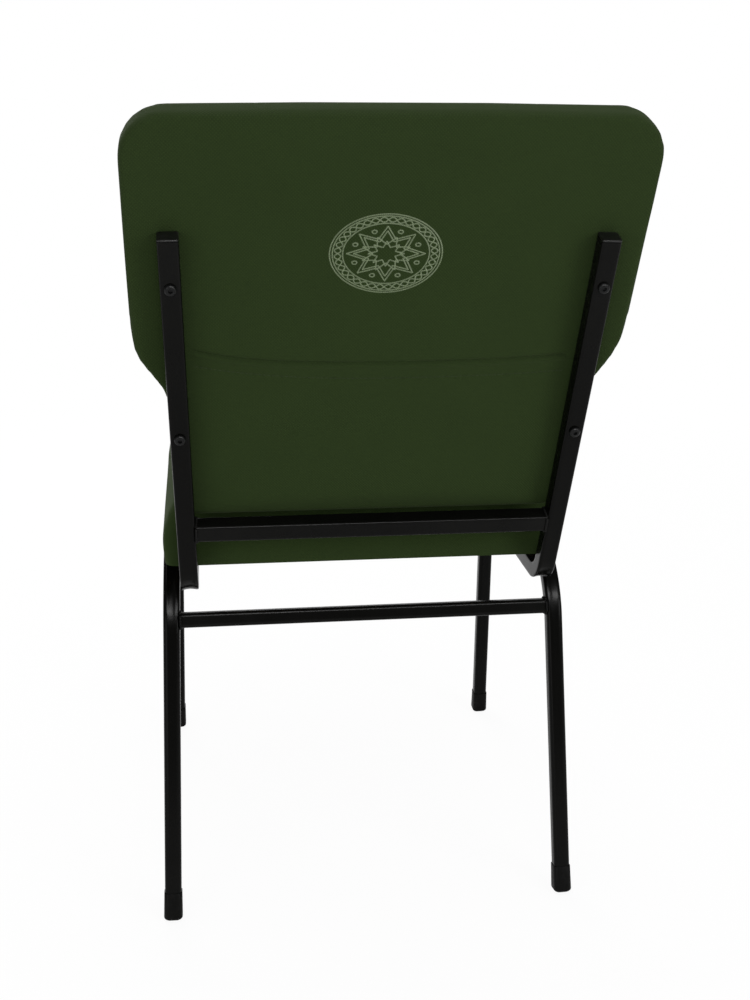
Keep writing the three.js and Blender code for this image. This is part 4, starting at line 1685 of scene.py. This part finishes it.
@dataclass
class SeatCushion:
    """The seat: a crowned pad with a waterfall front, stapled under its board.

    The pleats under its front corners are deepest at a height over its bottom and end at a reach from there.
    """

    frame: WeldedFrame
    half_width: float = 216.6 * MM
    front: float = -252 * MM
    front_bow: float = 5 * MM
    rear: float = 140.5 * MM
    bottom: float = 386.3 * MM
    front_corner: float = 46 * MM
    rear_corner: float = 12 * MM
    least_corner: float = 5 * MM
    spare: float = 10 * MM
    tuck: float = 2.4 * MM
    aside: float = 1.1 * MM
    widest: float = 22 * MM
    shoulder: float = 82 * MM
    side_reach: float = 44 * MM
    front_reach: float = 62 * MM
    rings: int = 8
    crown: float = 14 * MM
    cap: float = 6 * MM
    under_back: float = 36 * MM
    board: float = 12.3 * MM
    board_border: float = 10.7 * MM
    cutter_start: float = -4 * MM
    pleat_depth: float = 0.9 * MM
    pleat_height: float = 6 * MM
    pleat_reach: float = 28 * MM
    pleats_to_a_turn: int = 22
    flat_edge: float = 2 * MM
    flat_share: float = 0.6

    @property
    def middle(self) -> float:
        """Where the seat's middle is along the chair."""
        return (self.rear + self.front) / 2 + CAD_SHIFT

    @property
    def half_length(self) -> float:
        """Half the seat's length."""
        return (self.rear - self.front) / 2

    def build(self, finishes: Finishes) -> None:
        """Builds and dresses the seat cushion.

        Args:
            finishes: The materials.
        """
        pad = self.pad("seat_cushion_cover")
        self.swell(pad)
        # The spare height goes, which leaves the sharp lower edge of a cover pulled round a board.
        cut_below(pad, self.bottom)
        self.gather_corners(pad)
        self.hollow(pad)
        face_out(pad)
        smooth(pad, 60)
        hand_over(pad, finishes.cloth, "olive_fabric", "seat_cushion")

    def plan(self, name: str, border: float, height: float) -> Piece:
        """The seat's flat outline at a height, left open in edit mode with its face selected.

        Args:
            name: The new piece's name.
            border: How far inside the seat's rim it stays.
            height: Its height over the seat's bottom.

        Returns:
            One face with rounded corners.
        """
        half, length = self.half_width - border, self.half_length - border
        face = new_piece(name, bpy.ops.mesh.primitive_plane_add, size=1.0,
                         location=(0.0, self.middle, self.bottom + height))
        open_mesh(face, Part.EDGES, whole=True)
        bpy.ops.transform.resize(value=(2 * half, 2 * length, 1.0))
        for rearward, radius in ((1, self.rear_corner), (-1, self.front_corner)):
            pick(face, Part.POINTS, lambda spot, normal: (spot.y - self.middle) * rearward > length / 2
                 and abs(spot.x) > half - MM)
            bpy.ops.mesh.bevel(affect="VERTICES", offset=max(radius - border, self.least_corner), segments=8)
        pick(face, Part.EDGES, lambda middle, run: abs(run.x) > half and middle.y < self.middle)
        bpy.ops.mesh.subdivide(number_cuts=7)
        for point in bmesh.from_edit_mesh(face.data).verts:
            if point.co.y < self.middle:
                point.co.y -= self.front_bow * hump(point.co.x, half)
        bpy.ops.mesh.select_mode(type="FACE")
        bpy.ops.mesh.select_all(action="SELECT")
        return face

    def pad(self, name: str) -> Piece:
        """The seat's form: sides that round over, a deeper fall in front, and a crowned top.

        It starts with some spare height below, which is trimmed off once it is blown up.

        Args:
            name: The new piece's name.

        Returns:
            The closed pad.
        """
        pad = self.plan(name, self.tuck, -self.spare)
        rise = self.shoulder - self.widest
        turns = [math.pi / 2 * i / self.rings for i in range(self.rings + 1)]
        steps = [(-self.tuck, -self.tuck, self.widest + self.spare)]
        for before, turn in zip(turns, turns[1:]):
            inset = math.cos(before) - math.cos(turn)
            steps.append((inset * self.side_reach, inset * self.front_reach,
                          rise * (math.sin(turn) - math.sin(before))))
        half = self.half_width - self.tuck
        rear, front = self.middle + self.half_length, self.middle - self.half_length
        for side, fall, climb in steps:
            centre, length, shift = (rear + front) / 2, (rear - front) / 2, (fall - side) / 2
            extrude((0.0, shift, climb), ((half - side) / half, (length - (side + fall) / 2) / length, 1.0),
                    center_override=(0.0, centre + shift, 0.0))
            half, rear, front = half - side, rear - side, front + fall
        close_mesh()
        face_out(pad)
        finish_modifier(pad, "REMESH", mode="VOXEL", voxel_size=Padding.voxel)
        for point in pad.data.vertices:
            spot = point.co
            crown = self.crown * min(1.0, max(0.0, (spot.z - self.bottom - self.widest) / rise))
            spot.z += crown * hump(spot.x, self.half_width) * hump(spot.y - self.middle, self.half_length)
            spot.x += self.aside
        return pad

    def swell(self, pad: Piece) -> None:
        """Blows the pad up, held along its lower sides and where the back stands over it.

        Args:
            pad: The pad.
        """
        low = self.bottom + self.widest
        back = self.frame.heel_y + CAD_SHIFT - self.under_back
        Padding(lambda spot: self.cap, lambda spot, normal: spot.z < low or spot.y > back).swell(pad)

    def gather_corners(self, pad: Piece) -> None:
        """Draws the cover into soft pleats under the front corners, where it is stapled.

        Args:
            pad: The blown-up pad.
        """
        corner = self.front_corner
        for point in pad.data.vertices:
            spot = point.co
            low = spot.z - self.bottom
            out = abs(spot.x) - self.half_width + corner
            ahead = self.middle - self.half_length + corner - spot.y
            in_corner = out >= 0 and ahead >= 0 and math.hypot(out, ahead) >= corner * self.flat_share
            if not in_corner or low < self.flat_edge:
                continue
            turn = math.atan2(ahead, out)
            fold = self.pleat_depth * hump(low - self.pleat_height, self.pleat_reach)
            fold *= math.sin(turn * self.pleats_to_a_turn) * math.sin(2 * turn) ** 2
            outward = Vector((math.copysign(math.cos(turn), spot.x), -math.sin(turn), 0.0))
            point.co = spot + outward * fold

    def hollow(self, pad: Piece) -> None:
        """Makes the recess that the seat board lies in.

        Args:
            pad: The finished cover.
        """
        cutter = self.plan("board_recess", self.board_border, self.cutter_start)
        extrude((0.0, 0.0, self.board - self.cutter_start))
        close_mesh()
        face_out(cutter)
        cut_away(pad, cutter)


# Room and camera


@dataclass(frozen=True)
class Lamp:
    """A soft area lamp, in metres and watts. The gleam strip shows only in the gloss of the tubes' edges."""

    name: str
    spot: tuple[float, float, float]
    size: tuple[float, float]
    power: float
    aim: tuple[float, float, float] = (0.0, 0.0, 0.5)
    gleam_only: bool = False

    def build(self) -> None:
        """Hangs the lamp and turns it to what it is aimed at."""
        bpy.ops.object.light_add(type="AREA", location=self.spot)
        lamp = bpy.context.active_object
        lamp.name = self.name
        lamp.data.shape = "RECTANGLE"
        lamp.data.size, lamp.data.size_y = self.size
        lamp.data.energy = self.power
        lamp.visible_diffuse = not self.gleam_only
        lamp.rotation_euler = (Vector(self.aim) - Vector(self.spot)).to_track_quat("-Z", "Y").to_euler()


@dataclass
class Studio:
    """A pale floor, soft lamps and the camera at the photograph's place.

    The floor's glow to the camera is full beyond the second of its two distances from the chair.
    """

    camera_at: tuple[float, float, float] = (168.8 * MM, 1358.4 * MM, 861.0 * MM)
    yaw: float = math.radians(8.16)
    pitch: float = math.radians(18.3)
    roll: float = math.radians(0.97)
    focal_pixels: float = 1226.7
    photo_height_pixels: float = 1000.0
    sensor: float = 36.0
    floor_size: float = 60.0
    floor_drop: float = 0.2 * MM
    floor_glow: float = 0.93
    glow_reach: tuple[float, float] = (0.5, 2.2)
    surround: tuple[float, float] = (0.55, 0.25)
    lamps: tuple[Lamp, ...] = (
        Lamp("key_softbox", (-1.8, 2.0, 1.2), (1.2, 1.2), 24.0),
        Lamp("fill_softbox", (1.7, 2.2, 0.8), (1.6, 1.6), 14.0),
        Lamp("camera_strip", (0.1, 1.7, 1.9), (0.45, 0.45), 5.0, aim=(0.0, 0.0, 0.4)),
        Lamp("overhead_softbox", (0.0, 0.0, 2.6), (1.8, 1.8), 14.0),
        Lamp("front_softbox", (0.5, -2.4, 1.6), (1.6, 1.6), 30.0),
        Lamp("gloss_strip", (-0.2, 1.38, 1.32), (1.1, 0.18), 18.0, aim=(0.0, 0.1, 0.35), gleam_only=True),
    )

    def build(self) -> None:
        """Sets the camera, the floor, the lamps and the world."""
        self.build_camera()
        self.build_floor()
        for lamp in self.lamps:
            lamp.build()
        self.build_world()
        bpy.context.scene.view_settings.view_transform = "Standard"

    def build_camera(self) -> None:
        """Places the camera behind the chair, a little to its left and above."""
        forward = Vector((
            -math.sin(self.yaw) * math.cos(self.pitch),
            -math.cos(self.yaw) * math.cos(self.pitch),
            -math.sin(self.pitch),
        ))
        right = Vector((-math.cos(self.yaw), math.sin(self.yaw), 0.0))
        up = right.cross(forward)
        rolled_right = right * math.cos(self.roll) + up * math.sin(self.roll)
        rolled_up = up * math.cos(self.roll) - right * math.sin(self.roll)
        bpy.ops.object.camera_add(location=Vector(self.camera_at) + Vector((0.0, CAD_SHIFT, 0.0)))
        camera = bpy.context.active_object
        camera.name = "photo_camera"
        camera.rotation_euler = Matrix((rolled_right, rolled_up, -forward)).transposed().to_euler()
        camera.data.sensor_width = self.sensor
        camera.data.sensor_fit = "AUTO"
        camera.data.lens = self.focal_pixels / self.photo_height_pixels * self.sensor
        bpy.context.scene.camera = camera

    def build_floor(self) -> None:
        """A wide white floor that shows white to the camera but keeps the chair's shadow."""
        floor = new_piece("studio_floor", bpy.ops.mesh.primitive_plane_add, size=self.floor_size,
                          location=(0.0, 0.0, -self.floor_drop))
        nodes = Nodes(bpy.data.materials.new("white_studio_floor"))
        nodes.feed(nodes.shader, {"Base Color": linear("#F4F4F4"), "Roughness": 0.9,
                                  "Specular IOR Level": 0.1})
        glow = nodes.add("Emission", {"Color": linear("#FFFFFF"), "Strength": 1.0})
        spot = nodes.add("TexCoord", out="Object")
        away = nodes.add("VectorMath", {0: spot}, out="Value", operation="LENGTH")
        near, far = self.glow_reach
        fade = nodes.add("MapRange", {"Value": away, "From Min": near, "From Max": far,
                                      "To Min": self.floor_glow, "To Max": 1.0})
        ray = nodes.add("LightPath", out="Is Camera Ray")
        seen = nodes.add("Math", {0: ray, 1: fade}, operation="MULTIPLY")
        both = nodes.add("MixShader", {"Fac": seen, 1: nodes.shader.outputs["BSDF"], 2: glow})
        nodes.feed(nodes.tree.nodes["Material Output"], {"Surface": both})
        floor.data.materials.append(nodes.owner)

    def build_world(self) -> None:
        """An even white surround: full white to the camera, dimmer as a light and in reflections."""
        nodes = Nodes(bpy.data.worlds.new("white_surround"), "Background")
        bpy.context.scene.world = nodes.owner
        rays = nodes.add("LightPath").node.outputs
        light, reflection = self.surround
        gloss = nodes.add("MapRange", {"Value": rays["Is Glossy Ray"], "To Min": light, "To Max": reflection})
        seen = nodes.add("MapRange", {"Value": rays["Is Camera Ray"], "To Min": gloss, "To Max": 1.0})
        nodes.feed(nodes.shader, {"Color": linear("#FFFFFF"), "Strength": seen})


def dress_cad_nodes(nodes: dict[str, Piece], finishes: Finishes) -> None:
    """Gives the CAD nodes that stay in view their finishes.

    Args:
        nodes: The CAD nodes by name.
        finishes: The materials.
    """
    by_start = {
        "back_insert_": finishes.zinc,
        "seat_screw_": finishes.zinc,
        "back_board": finishes.plywood,
        "seat_board": finishes.plywood,
        "seat_dust_cover": finishes.dust_cloth,
        "front_seat_strap": finishes.powder_coat,
        "rear_seat_strap": finishes.powder_coat,
    }
    for name, node in nodes.items():
        for start, finish in by_start.items():
            if name.startswith(start):
                for slot in node.material_slots:
                    slot.material = finish
                log.info("%s keeps its CAD shape, in %s", name, finish.name)


def main() -> None:
    """Builds the chair round the CAD frame, in order."""
    logging.basicConfig(level=logging.INFO, format="%(message)s")
    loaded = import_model()
    finishes = Finishes()
    Studio().build()
    frame = WeldedFrame()
    frame.build(finishes)
    PlasticFittings(frame).build(finishes)
    bolts = BackBolts(frame)
    bolts.build(finishes)
    BackCushion(frame).build(bolts, finishes)
    SeatCushion(frame).build(finishes)
    dress_cad_nodes(loaded["nodes"], finishes)
    deselect_all()


if __name__ == "__main__":
    main()
